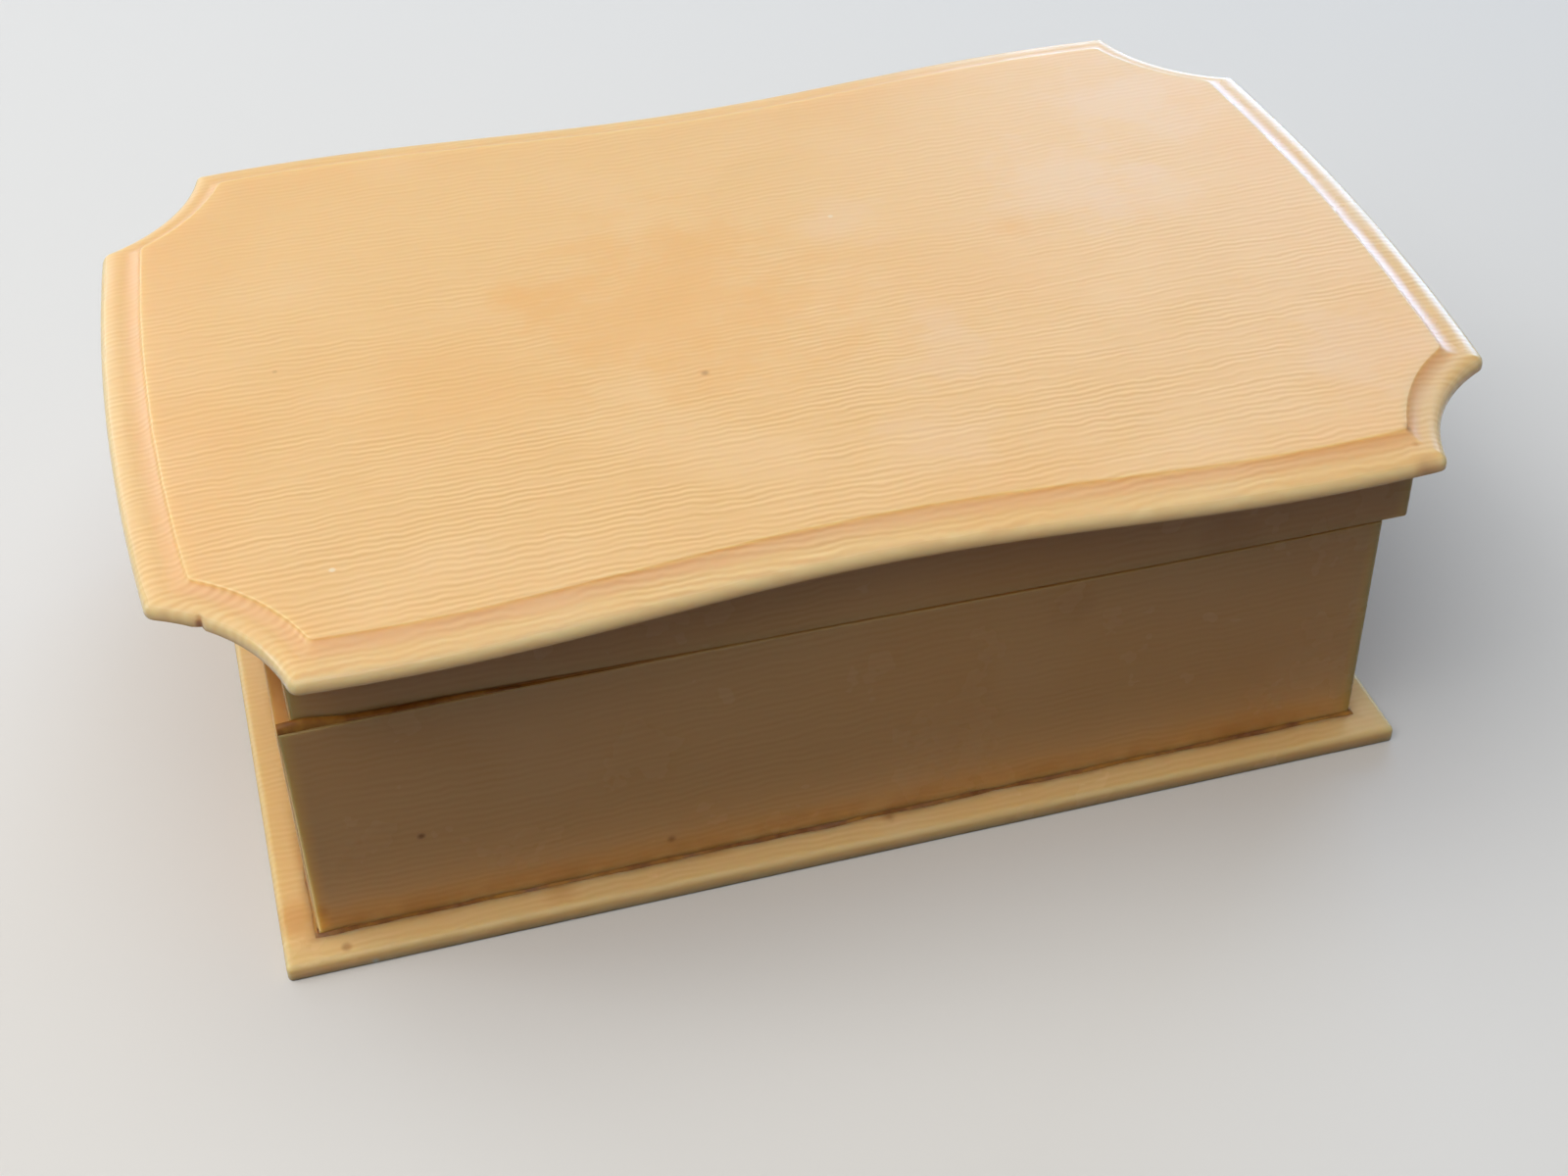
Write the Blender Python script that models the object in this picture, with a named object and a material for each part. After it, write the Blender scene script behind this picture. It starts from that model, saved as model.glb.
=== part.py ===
"""A trinket box of ivory coloured celluloid sheet, with a hinged lid.

The box is made from flat sheet. Four mitred walls stand on a base plate that
stands out past them. Four mitred rim boards hang under the lid plate and meet
the walls at the seam. The lid plate has serpentine long sides, bowed ends and
scooped corners, and a cove moulding follows its outline round a raised field.
Two small brass butt hinges with rolled knuckles join the lid to the rear wall.

The origin is the middle of the base plate's underside. +X runs along the box
to the right, +Y to the rear and +Z up. Lengths are metres.
"""

import math

import bmesh
import bpy
from mathutils import Matrix, Vector

MM = 0.001

# Gap that glued or resting pieces keep to each other
SEAT_GAP = 0.3 * MM

# Box body
BODY_LENGTH = 131.0 * MM
BODY_DEPTH = 92.2 * MM
WALL_HEIGHT = 30.6 * MM
WALL_THICKNESS = 2.4 * MM
BOARD_EDGE_EASE = 0.15 * MM
MITRE_ANGLE = math.radians(45.0)

# Base plate
BASE_THICKNESS = 2.2 * MM
BASE_MARGIN = 4.2 * MM
BASE_CORNER_ROUND = 0.6 * MM
BASE_TOP_ROUND = 0.7 * MM
BASE_UNDER_EASE = 0.2 * MM

# Lid rim, which is a little longer than the body and sits to the right of it
RIM_EXTRA_LENGTH = 1.4 * MM
RIM_SHIFT = 2.4 * MM
RIM_HEIGHT = 12.0 * MM
RIM_THICKNESS = 2.4 * MM

# Lid plate outline
SIDE_OVERHANG = 7.9 * MM
SIDE_DIP = 3.1 * MM
BULGE_PLACE_SHARE = 0.8
END_OVERHANG = 14.5 * MM
END_BOW = 1.8 * MM
SCOOP_LENGTH = 13.5 * MM
SCOOP_DEPTH = 16.8 * MM
SCOOP_HOLLOW = 2.7 * MM
SCOOP_INSET_SHARE = 0.78
TIP_ROUND = 1.2 * MM
INNER_TIP_ROUND = 0.12 * MM

# Lid plate section, from the lip inwards
LIP_THICKNESS = 1.95 * MM
LIP_TOP_ROUND = 0.75 * MM
LIP_UNDER_EASE = 0.3 * MM
LIP_WIDTH = 2.9 * MM
COVE_WIDTH = 2.3 * MM
COVE_RISE = 1.0 * MM
FIELD_EDGE_EASE = 0.15 * MM

# Hinges, placed from the body's ends
HINGE_FROM_END = 18.5 * MM
HINGE_LENGTH = 18.0 * MM
LEAF_THICKNESS = 0.6 * MM
LEAF_HEIGHT = 7.6 * MM
KNUCKLE_GAP = 0.3 * MM
PIN_RADIUS = 0.6 * MM
PIN_CLEARANCE = 0.25 * MM
PIN_HEAD_RADIUS = 1.0 * MM
PIN_HEAD_HEIGHT = 0.5 * MM
CURL_ANGLE = math.radians(280.0)

# Rivets, placed from the leaf's side and far edge
RIVET_FROM_SIDE = 3.5 * MM
RIVET_FROM_EDGE = 2.7 * MM
RIVET_RADIUS = 0.6 * MM
RIVET_CLEARANCE = 0.25 * MM
RIVET_HEAD_RADIUS = 1.3 * MM
RIVET_HEAD_HEIGHT = 0.5 * MM
CLENCH_RADIUS = 1.1 * MM
CLENCH_HEIGHT = 0.45 * MM
CUT_OVERRUN = 1.0 * MM

# Counts of points along the curves
HALF_SIDE_STEPS = 14
HALF_END_STEPS = 5
SCOOP_STEPS = 8
TIP_STEPS = 3
ROUND_STEPS = 3
COVE_STEPS = 6
TURN_STEPS = 20
CURL_STEPS = 14
BISECTION_STEPS = 50
SMOOTH_ANGLE = math.radians(32.0)

# Heights that follow from the sizes above
WALL_BOTTOM = BASE_THICKNESS + SEAT_GAP
SEAM_BOTTOM = WALL_BOTTOM + WALL_HEIGHT
RIM_BOTTOM = SEAM_BOTTOM + SEAT_GAP
PLATE_BOTTOM = RIM_BOTTOM + RIM_HEIGHT + SEAT_GAP
HINGE_AXIS_HEIGHT = (SEAM_BOTTOM + RIM_BOTTOM) / 2

# Hinge sizes that follow from the sheet and the pin
CURL_RADIUS = PIN_RADIUS + PIN_CLEARANCE + LEAF_THICKNESS / 2
KNUCKLE_RADIUS = CURL_RADIUS + LEAF_THICKNESS / 2
HINGE_AXIS_BACK = BODY_DEPTH / 2 + SEAT_GAP + KNUCKLE_RADIUS
LEAF_CLEAR = KNUCKLE_RADIUS + KNUCKLE_GAP

SIDES = ("front", "right", "rear", "left")


def clear_scene():
    """Empty the scene so that only the box is in it."""
    for item in list(bpy.data.objects):
        bpy.data.objects.remove(item, do_unlink=True)


def make_material(name, colour, roughness, metallic, subsurface=0.0):
    """A Principled material with the piece's colour and surface."""
    material = bpy.data.materials.new(name)
    material.use_nodes = True
    shader = material.node_tree.nodes["Principled BSDF"]
    shader.inputs["Base Color"].default_value = (*colour, 1.0)
    shader.inputs["Roughness"].default_value = roughness
    shader.inputs["Metallic"].default_value = metallic
    shader.inputs["Subsurface Weight"].default_value = subsurface
    return material


def add_object(name, mesh_data, material, parent=None, place=(0, 0, 0), turn=0.0):
    """Link a mesh as a named piece at a place in the world, turned about Z."""
    mesh = bpy.data.meshes.new(name)
    mesh_data.normal_update()
    mesh_data.to_mesh(mesh)
    mesh_data.free()
    mesh.materials.append(material)
    mesh.shade_smooth()
    mesh.set_sharp_from_angle(angle=SMOOTH_ANGLE)
    piece = bpy.data.objects.new(name, mesh)
    bpy.context.collection.objects.link(piece)
    origin = Vector((0, 0, 0))
    if parent:
        piece.parent = parent
        origin = parent.location
    piece.location = Vector(place) - origin
    piece.rotation_euler = (0, 0, turn)
    return piece


def add_pivot(name, place):
    """An empty that carries the pieces of one moving body."""
    pivot = bpy.data.objects.new(name, None)
    pivot.location = place
    bpy.context.collection.objects.link(pivot)
    return pivot


def prism(outline, bottom, top):
    """Extrude a flat outline, given anticlockwise, between two heights."""
    solid = bmesh.new()
    corners = [solid.verts.new((x, y, bottom)) for x, y in outline]
    face = solid.faces.new(corners)
    lifted = bmesh.ops.extrude_face_region(solid, geom=[face])
    moved = [item for item in lifted["geom"] if isinstance(item, bmesh.types.BMVert)]
    bmesh.ops.translate(solid, verts=moved, vec=(0, 0, top - bottom))
    bmesh.ops.recalc_face_normals(solid, faces=solid.faces)
    return solid


def ring_stack(rings):
    """Join closed rings of equal count with quads and close both ends."""
    solid = bmesh.new()
    rows = [[solid.verts.new(point) for point in ring] for ring in rings]
    for lower, upper in zip(rows, rows[1:]):
        count = len(lower)
        for here in range(count):
            there = (here + 1) % count
            solid.faces.new((lower[here], lower[there], upper[there], upper[here]))
    solid.faces.new(rows[-1])
    solid.faces.new(list(reversed(rows[0])))
    bmesh.ops.recalc_face_normals(solid, faces=solid.faces)
    return solid


def turned(profile):
    """Revolve (radius, height) points about Z; both ends lie on the axis."""
    solid = bmesh.new()
    foot = solid.verts.new((0, 0, profile[0][1]))
    crown = solid.verts.new((0, 0, profile[-1][1]))
    rows = []
    for radius, height in profile[1:-1]:
        row = []
        for step in range(TURN_STEPS):
            angle = math.tau * step / TURN_STEPS
            row.append(solid.verts.new((radius * math.cos(angle), radius * math.sin(angle), height)))
        rows.append(row)
    for here in range(TURN_STEPS):
        there = (here + 1) % TURN_STEPS
        solid.faces.new((foot, rows[0][there], rows[0][here]))
        solid.faces.new((crown, rows[-1][here], rows[-1][there]))
        for lower, upper in zip(rows, rows[1:]):
            solid.faces.new((lower[here], lower[there], upper[there], upper[here]))
    bmesh.ops.recalc_face_normals(solid, faces=solid.faces)
    return solid


def board_outline(outer_length, thickness):
    """Plan of a board with mitred ends, its outer face on the line y = 0."""
    mitre_gap = SEAT_GAP * math.cos(MITRE_ANGLE)
    outer = outer_length / 2 - mitre_gap
    inner = outer - thickness
    return [(-outer, 0), (outer, 0), (inner, thickness), (-inner, thickness)]


def side_sizes(side, length, depth):
    """Length of a side's board and the distance of its face from the middle."""
    if side % 2 == 0:
        return length, depth / 2
    return depth, length / 2


def add_boards(kind, length, depth, thickness, bottom, height, middle, material, parent):
    """Stand four mitred boards round a rectangle, one named piece on each side."""
    boards = {}
    for side, name in enumerate(SIDES):
        board_length, distance = side_sizes(side, length, depth)
        turn = side * math.pi / 2
        out = Matrix.Rotation(turn, 3, "Z") @ Vector((0, -distance, 0))
        solid = prism(board_outline(board_length, thickness), 0, height)
        place = (middle + out.x, out.y, bottom)
        board = add_object(kind.format(name), solid, material, parent, place, turn)
        ease = board.modifiers.new("eased edges", "BEVEL")
        ease.width = BOARD_EDGE_EASE
        ease.segments = 1
        boards[name] = board
    return boards


def rounded_rectangle(length, depth, radius, inset, height):
    """One ring of a rectangle with rounded corners, drawn in by an inset."""
    corner = max(radius - inset, radius / 2)
    half_length = length / 2 - inset - corner
    half_depth = depth / 2 - inset - corner
    centres = ((half_length, half_depth), (-half_length, half_depth),
               (-half_length, -half_depth), (half_length, -half_depth))
    ring = []
    for quarter, (x, y) in enumerate(centres):
        for step in range(TIP_STEPS + 1):
            angle = (quarter + step / TIP_STEPS) * math.pi / 2
            ring.append((x + corner * math.cos(angle), y + corner * math.sin(angle), height))
    return ring


def add_base_plate(material):
    """The flat sheet that the walls stand on, its upper edge rounded over."""
    length = BODY_LENGTH + 2 * BASE_MARGIN
    depth = BODY_DEPTH + 2 * BASE_MARGIN
    levels = [(BASE_UNDER_EASE, 0), (0, BASE_UNDER_EASE)]
    for step in range(ROUND_STEPS + 1):
        angle = step / ROUND_STEPS * math.pi / 2
        inset = BASE_TOP_ROUND * (1 - math.cos(angle))
        levels.append((inset, BASE_THICKNESS - BASE_TOP_ROUND * (1 - math.sin(angle))))
    rings = [rounded_rectangle(length, depth, BASE_CORNER_ROUND, inset, height)
             for inset, height in levels]
    return add_object("base_plate", ring_stack(rings), material)


class LidOutline:
    """A quarter of the lid plate's outline, at any inset from its edge.

    Each stretch keeps its parallel curve as the inset grows, so that the
    mouldings run at an even width and meet in a mitre at every corner tip.
    """

    def __init__(self):
        rim_half_length = (BODY_LENGTH + RIM_EXTRA_LENGTH) / 2
        self.end_middle = rim_half_length + END_OVERHANG
        self.side_tip_x = self.end_middle - END_BOW
        self.front_tip_x = self.side_tip_x - SCOOP_LENGTH
        self.bulge_x = self.front_tip_x * BULGE_PLACE_SHARE
        self.dip_y = BODY_DEPTH / 2 + SIDE_OVERHANG - SIDE_DIP
        self.front_tip_y = self.side(self.front_tip_x, 0).y
        self.side_tip_y = self.front_tip_y - SCOOP_DEPTH
        self.end_radius = (self.side_tip_y ** 2 + END_BOW ** 2) / (2 * END_BOW)
        self.end_centre_x = self.end_middle - self.end_radius
        chord = Vector((-SCOOP_LENGTH, SCOOP_DEPTH))
        self.scoop_radius = (chord.length ** 2 / 4 + SCOOP_HOLLOW ** 2) / (2 * SCOOP_HOLLOW)
        chord_middle = Vector((self.side_tip_x, self.side_tip_y)) + chord / 2
        outward = Vector((SCOOP_DEPTH, SCOOP_LENGTH)).normalized()
        self.scoop_centre = chord_middle + outward * (self.scoop_radius - SCOOP_HOLLOW)

    def side(self, x, inset):
        """Point of the long serpentine side, moved square to it by the inset."""
        wave = math.pi / self.bulge_x
        height = self.dip_y + SIDE_DIP * (1 - math.cos(wave * x)) / 2
        slope = SIDE_DIP * wave * math.sin(wave * x) / 2
        inward = Vector((slope, -1)).normalized()
        return Vector((x, height)) + inward * inset

    def end(self, angle, inset):
        """Point of the bowed end, whose arc is centred on the X axis."""
        radius = self.end_radius - inset
        return Vector((self.end_centre_x + radius * math.cos(angle), radius * math.sin(angle)))

    def scoop_arc(self, inset):
        """Radius of the scooped corner's arc, where the moulding runs a little narrower."""
        return self.scoop_radius + inset * SCOOP_INSET_SHARE

    def scoop(self, angle, inset):
        """Point of the scooped corner, whose arc grows as the inset grows."""
        return self.scoop_centre + Vector((math.cos(angle), math.sin(angle))) * self.scoop_arc(inset)

    def scoop_reach(self, point, inset):
        """How far a point lies outside the scoop's arc; below zero is inside."""
        return (point - self.scoop_centre).length - self.scoop_arc(inset)

    def scoop_angle(self, point):
        """Direction of a point from the scoop's centre, between 0 and a full turn."""
        away = point - self.scoop_centre
        return math.atan2(away.y, away.x) % math.tau

    def quarter(self, inset, tip_round):
        """Points from the middle of the end, over the scoop, to the middle of the side."""
        end_limit = 2 * self.side_tip_y / self.end_radius
        end_angle = bisect(lambda a: self.scoop_reach(self.end(a, inset), inset), 0, end_limit)
        side_x = bisect(lambda x: self.scoop_reach(self.side(x, inset), inset), 0, self.side_tip_x)
        first = self.scoop_angle(self.end(end_angle, inset))
        last = self.scoop_angle(self.side(side_x, inset))
        end_cut = tip_round / (self.end_radius - inset)
        scoop_cut = math.copysign(tip_round / self.scoop_arc(inset), last - first)
        end_steps = [(end_angle - end_cut) * step / HALF_END_STEPS for step in range(HALF_END_STEPS + 1)]
        ends = [self.end(angle, inset) for angle in end_steps]
        scoop_run = last - first - 2 * scoop_cut
        scoop_steps = [first + scoop_cut + scoop_run * step / SCOOP_STEPS for step in range(SCOOP_STEPS + 1)]
        scoops = [self.scoop(angle, inset) for angle in scoop_steps]
        side_run = side_x - tip_round
        side_steps = [side_run * (1 - step / HALF_SIDE_STEPS) for step in range(HALF_SIDE_STEPS + 1)]
        sides = [self.side(x, inset) for x in side_steps]
        end_tip = self.end(end_angle, inset)
        side_tip = self.side(side_x, inset)
        return (ends + rounded_tip(ends[-1], end_tip, scoops[0]) + scoops
                + rounded_tip(scoops[-1], side_tip, sides[0]) + sides)

    def ring(self, inset, tip_round, height):
        """The whole closed outline at a height, anticlockwise from the right end."""
        first = self.quarter(inset, tip_round)
        second = [Vector((-point.x, point.y)) for point in reversed(first)]
        third = [-point for point in first]
        fourth = [Vector((point.x, -point.y)) for point in reversed(first)]
        flat = first[:-1] + second[:-1] + third[:-1] + fourth[:-1]
        return [(point.x, point.y, height) for point in flat]


def bisect(measure, low, high):
    """Where a measure changes sign between two values."""
    low_sign = measure(low) > 0
    for _ in range(BISECTION_STEPS):
        middle = (low + high) / 2
        if (measure(middle) > 0) == low_sign:
            low = middle
        else:
            high = middle
    return (low + high) / 2


def rounded_tip(before, tip, after):
    """Points of the small curve that takes the place of a corner tip."""
    points = []
    for step in range(1, TIP_STEPS):
        share = step / TIP_STEPS
        points.append(before * (1 - share) ** 2 + tip * 2 * share * (1 - share) + after * share ** 2)
    return points


def lid_section():
    """Insets and heights of the lid plate's section, from its underside up and in."""
    top = PLATE_BOTTOM + LIP_THICKNESS
    levels = [(LIP_UNDER_EASE, PLATE_BOTTOM), (0, PLATE_BOTTOM + LIP_UNDER_EASE)]
    for step in range(ROUND_STEPS + 1):
        angle = step / ROUND_STEPS * math.pi / 2
        inset = LIP_TOP_ROUND * (1 - math.cos(angle))
        levels.append((inset, top - LIP_TOP_ROUND * (1 - math.sin(angle))))
    for step in range(COVE_STEPS + 1):
        angle = step / COVE_STEPS * math.pi / 2
        inset = LIP_WIDTH + COVE_WIDTH * math.sin(angle)
        levels.append((inset, top + (COVE_RISE - FIELD_EDGE_EASE) * (1 - math.cos(angle))))
    levels.append((LIP_WIDTH + COVE_WIDTH + FIELD_EDGE_EASE, top + COVE_RISE))
    return levels


def add_lid_plate(material, pivot):
    """The moulded top sheet, one ring of its outline for each level of the section."""
    outline = LidOutline()
    rings = []
    for inset, height in lid_section():
        tip_round = max(TIP_ROUND - inset, INNER_TIP_ROUND)
        ring = outline.ring(inset, tip_round, height - PLATE_BOTTOM)
        rings.append(ring)
    place = (RIM_SHIFT, 0, PLATE_BOTTOM)
    return add_object("lid_plate", ring_stack(rings), material, pivot, place)


def knuckle_spans(own_knuckles):
    """Stretches of the hinge's length, each with whether this leaf rolls there."""
    knuckle = (HINGE_LENGTH - 2 * KNUCKLE_GAP) / 3
    spans = []
    start = -HINGE_LENGTH / 2
    for number in range(3):
        spans.append((start, start + knuckle, number in own_knuckles))
        start += knuckle
        if number < 2:
            spans.append((start, start + KNUCKLE_GAP, False))
            start += KNUCKLE_GAP
    return spans


def rolled_leaf(own_knuckles, upward):
    """A hinge leaf as a bent sheet: the flat plate, then the curl round the pin."""
    plate = [(-CURL_RADIUS, upward * LEAF_HEIGHT), (-CURL_RADIUS, upward * LEAF_CLEAR)]
    curl = []
    for step in range(CURL_STEPS + 1):
        angle = CURL_ANGLE * step / CURL_STEPS
        curl.append((-CURL_RADIUS * math.cos(angle), -upward * CURL_RADIUS * math.sin(angle)))
    sheet = bmesh.new()
    known = {}

    def corner(x, point):
        key = (x, point)
        if key not in known:
            known[key] = sheet.verts.new((x, *point))
        return known[key]

    for left, right, rolls in knuckle_spans(own_knuckles):
        path = plate + curl if rolls else plate
        for here, there in zip(path, path[1:]):
            sheet.faces.new((corner(left, here), corner(right, here),
                             corner(right, there), corner(left, there)))
    bmesh.ops.recalc_face_normals(sheet, faces=sheet.faces)
    return sheet


def add_leaf(name, own_knuckles, upward, place, material, parent):
    """One leaf of a hinge, its sheet thickened evenly to both sides."""
    leaf = add_object(name, rolled_leaf(own_knuckles, upward), material, parent, place)
    thickness = leaf.modifiers.new("sheet thickness", "SOLIDIFY")
    thickness.thickness = LEAF_THICKNESS
    thickness.offset = 0.0
    thickness.use_even_offset = True
    return leaf


def add_pin(name, place, material):
    """The hinge pin, with a shallow domed head past each end of the knuckles."""
    half = HINGE_LENGTH / 2 + KNUCKLE_GAP
    dome = half + PIN_HEAD_HEIGHT
    profile = [(0, -dome), (PIN_HEAD_RADIUS / 2, -dome), (PIN_HEAD_RADIUS, -half - PIN_HEAD_HEIGHT / 2),
               (PIN_HEAD_RADIUS, -half), (PIN_RADIUS, -half), (PIN_RADIUS, half), (PIN_HEAD_RADIUS, half),
               (PIN_HEAD_RADIUS, half + PIN_HEAD_HEIGHT / 2), (PIN_HEAD_RADIUS / 2, dome), (0, dome)]
    solid = turned(profile)
    bmesh.ops.rotate(solid, verts=solid.verts, matrix=Matrix.Rotation(math.pi / 2, 3, "Y"))
    return add_object(name, solid, material, None, place)


def rivet_profile(board_thickness):
    """Section of a rivet, its axis up and the board's outer face at zero."""
    inner = -board_thickness - SEAT_GAP
    outer = SEAT_GAP + LEAF_THICKNESS + SEAT_GAP
    crown = outer + RIVET_HEAD_HEIGHT
    profile = [(0, inner - CLENCH_HEIGHT), (CLENCH_RADIUS - CLENCH_HEIGHT / 2, inner - CLENCH_HEIGHT),
               (CLENCH_RADIUS, inner - CLENCH_HEIGHT / 2), (CLENCH_RADIUS, inner),
               (RIVET_RADIUS, inner), (RIVET_RADIUS, outer)]
    for step in range(ROUND_STEPS):
        angle = step / ROUND_STEPS * math.pi / 2
        profile.append((RIVET_HEAD_RADIUS * math.cos(angle), outer + RIVET_HEAD_HEIGHT * math.sin(angle)))
    profile.append((0, crown))
    return profile


def add_rivet(name, place, board_thickness, material, parent):
    """A small brass rivet that runs through the leaf and the board, clenched inside."""
    solid = turned(rivet_profile(board_thickness))
    bmesh.ops.rotate(solid, verts=solid.verts, matrix=Matrix.Rotation(-math.pi / 2, 3, "X"))
    return add_object(name, solid, material, parent, place)


def cut_rivet_hole(name, place, board_thickness, pieces, material):
    """Cut one rivet's hole through a board and the leaf on it."""
    reach = board_thickness + CUT_OVERRUN
    front = LEAF_THICKNESS + SEAT_GAP + CUT_OVERRUN
    radius = RIVET_RADIUS + RIVET_CLEARANCE
    solid = turned([(0, -reach), (radius, -reach), (radius, front), (0, front)])
    bmesh.ops.rotate(solid, verts=solid.verts, matrix=Matrix.Rotation(-math.pi / 2, 3, "X"))
    cutter = add_object(name, solid, material, None, place)
    cutter.hide_render = True
    cutter.display_type = "WIRE"
    for piece in pieces:
        cut = piece.modifiers.new(name, "BOOLEAN")
        cut.operation = "DIFFERENCE"
        cut.object = cutter
        # The exact solver leaves the board open at some hinge lengths
        cut.solver = "MANIFOLD"


def add_hinge(side, middle, walls, rims, brass, pivot):
    """A butt hinge: two rolled leaves, the pin between them and two rivets in each leaf."""
    axis = (middle, HINGE_AXIS_BACK, HINGE_AXIS_HEIGHT)
    box_leaf = add_leaf(f"{side}_hinge_box_leaf", (0, 2), -1, axis, brass, None)
    lid_leaf = add_leaf(f"{side}_hinge_lid_leaf", (1,), 1, axis, brass, pivot)
    add_pin(f"{side}_hinge_pin", axis, brass)
    across = HINGE_LENGTH / 2 - RIVET_FROM_SIDE
    away = LEAF_HEIGHT - RIVET_FROM_EDGE
    halves = (("box", -1, box_leaf, walls["rear"], WALL_THICKNESS, None),
              ("lid", 1, lid_leaf, rims["rear"], RIM_THICKNESS, pivot))
    for half, upward, leaf, board, thickness, parent in halves:
        for number, way in enumerate((-1, 1), start=1):
            place = (middle + way * across, BODY_DEPTH / 2, HINGE_AXIS_HEIGHT + upward * away)
            cut_rivet_hole(f"{side}_{half}_rivet_hole_{number}", place, thickness, (leaf, board), brass)
            add_rivet(f"{side}_hinge_{half}_rivet_{number}", place, thickness, brass, parent)


def build():
    """Make every piece of the closed box."""
    clear_scene()
    celluloid = make_material("celluloid", (0.80, 0.56, 0.30), 0.33, 0.0, 0.15)
    brass = make_material("brass", (0.62, 0.43, 0.17), 0.38, 1.0)
    pivot = add_pivot("lid_pivot", (0, HINGE_AXIS_BACK, HINGE_AXIS_HEIGHT))
    add_base_plate(celluloid)
    walls = add_boards("{}_wall", BODY_LENGTH, BODY_DEPTH, WALL_THICKNESS,
                       WALL_BOTTOM, WALL_HEIGHT, 0, celluloid, None)
    rims = add_boards("lid_{}_rim", BODY_LENGTH + RIM_EXTRA_LENGTH, BODY_DEPTH, RIM_THICKNESS,
                      RIM_BOTTOM, RIM_HEIGHT, RIM_SHIFT, celluloid, pivot)
    add_lid_plate(celluloid, pivot)
    hinge_middle = (BODY_LENGTH - HINGE_LENGTH) / 2 - HINGE_FROM_END
    for side, way in (("left", -1), ("right", 1)):
        add_hinge(side, way * hinge_middle, walls, rims, brass, pivot)


build()
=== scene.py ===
"""Looks of the trinket box: grained ivory celluloid, amber cement and aged brass.

Every celluloid piece is built again here with finer edges and closed seams,
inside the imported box's own sizes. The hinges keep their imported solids.
"""

import math

import bpy
from mathutils import Matrix, Vector, noise


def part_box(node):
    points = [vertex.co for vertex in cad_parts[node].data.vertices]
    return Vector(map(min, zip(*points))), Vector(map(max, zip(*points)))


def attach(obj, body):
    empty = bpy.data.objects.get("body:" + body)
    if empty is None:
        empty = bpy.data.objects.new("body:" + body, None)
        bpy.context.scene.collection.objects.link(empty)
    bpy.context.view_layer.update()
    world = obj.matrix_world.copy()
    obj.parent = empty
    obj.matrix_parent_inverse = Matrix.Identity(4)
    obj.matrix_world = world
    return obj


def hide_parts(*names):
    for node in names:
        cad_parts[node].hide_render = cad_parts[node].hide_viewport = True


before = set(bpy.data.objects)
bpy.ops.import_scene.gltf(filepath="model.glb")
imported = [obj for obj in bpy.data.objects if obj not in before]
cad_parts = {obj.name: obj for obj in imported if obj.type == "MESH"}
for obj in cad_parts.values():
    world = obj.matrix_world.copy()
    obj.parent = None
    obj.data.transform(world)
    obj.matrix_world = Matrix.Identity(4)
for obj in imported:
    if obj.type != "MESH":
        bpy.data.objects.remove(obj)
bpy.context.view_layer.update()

MM = 0.001

# Lid plate outline, as in the part's source
SIDE_DIP = 3.1 * MM
BULGE_PLACE_SHARE = 0.8
END_BOW = 1.8 * MM
SCOOP_LENGTH = 13.5 * MM
SCOOP_DEPTH = 16.8 * MM
SCOOP_HOLLOW = 2.7 * MM
SCOOP_INSET_SHARE = 0.78
TIP_ROUND = 1.2 * MM
INNER_TIP_ROUND = 0.12 * MM
FIELD_TIP_ROUND = 0.8 * MM

# Lid plate section, as in the part's source but for the worn nose of the lip
LIP_THICKNESS = 1.95 * MM
LIP_UNDER_EASE = 0.13 * MM
LIP_WIDTH = 2.9 * MM
LOW_EDGE_HEIGHT = 0.6 * MM
COVE_WIDTH = 2.3 * MM
COVE_SWEEP = math.radians(72.0)
FIELD_EDGE_ROUND = 0.3 * MM
NOSE_WIDTH = 2.6 * MM
NOSE_HEIGHT = 1.5 * MM
NOSE_SQUARENESS = 2.3
NOSE_STEPS = 12
EDGE_FADE = 1.0 * MM
EDGE_POLISH = 0.8
POLISHED_FROM_SHARE = 0.55
LIP_WEAR_SHARE = 0.2

# Base plate
BASE_CORNER_ROUND = 0.6 * MM
BASE_TOP_ROUND = 0.7 * MM
BASE_UNDER_EASE = 0.25 * MM

# Fine edges and seams
HAIRLINE = 0.02 * MM
LID_SEAM = 0.24 * MM
BOARD_ROUND = 0.16 * MM
CORNER_ROUND = 0.5 * MM
MITRE_EASE = 0.05 * MM
SUPPORT = 0.3 * MM
FLOOR_DROP = 0.02 * MM

# Uneven hand work and wear. Shares are of the boards' length, from the left
COVE_WOBBLE = 0.07 * MM
COVE_WOBBLE_LENGTH = 9.0 * MM
RIGHT_COVE_CALM = 0.8
RIM_SET_BACK = 1.0 * MM
RIM_SET_BACK_END_SHARE = 0.42
SEAM_CLIMB = 0.85 * MM
SEAM_LEVEL_FROM_SHARE = 0.87
SEAM_CLIMBED_FROM_SHARE = 0.30
CORNER_OPENING = 0.45 * MM
CORNER_OPENING_HEIGHT = 13.0 * MM
NICK_PLACE = Vector((-71.15, -39.9)) * MM
NICK_RADIUS = 0.8 * MM
NICK_DEPTH = 0.45 * MM

# Points along the curves
HALF_SIDE_STEPS = 80
HALF_END_STEPS = 36
SCOOP_STEPS = 44
TIP_STEPS = 6
ROUND_STEPS = 6
EDGE_STEPS = 3
COVE_STEPS = 12
BISECTION_STEPS = 50
BOARD_RINGS = 48
CORNER_STEPS = 5
SMOOTH_ANGLE = math.radians(48.0)


def bisect(measure, low, high):
    """Where a measure changes sign between two values."""
    low_sign = measure(low) > 0
    for _ in range(BISECTION_STEPS):
        middle = (low + high) / 2
        if (measure(middle) > 0) == low_sign:
            low = middle
        else:
            high = middle
    return (low + high) / 2


def smooth(value):
    """A soft step from 0 to 1."""
    share = min(max(value, 0.0), 1.0)
    return share * share * (3 - 2 * share)


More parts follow.
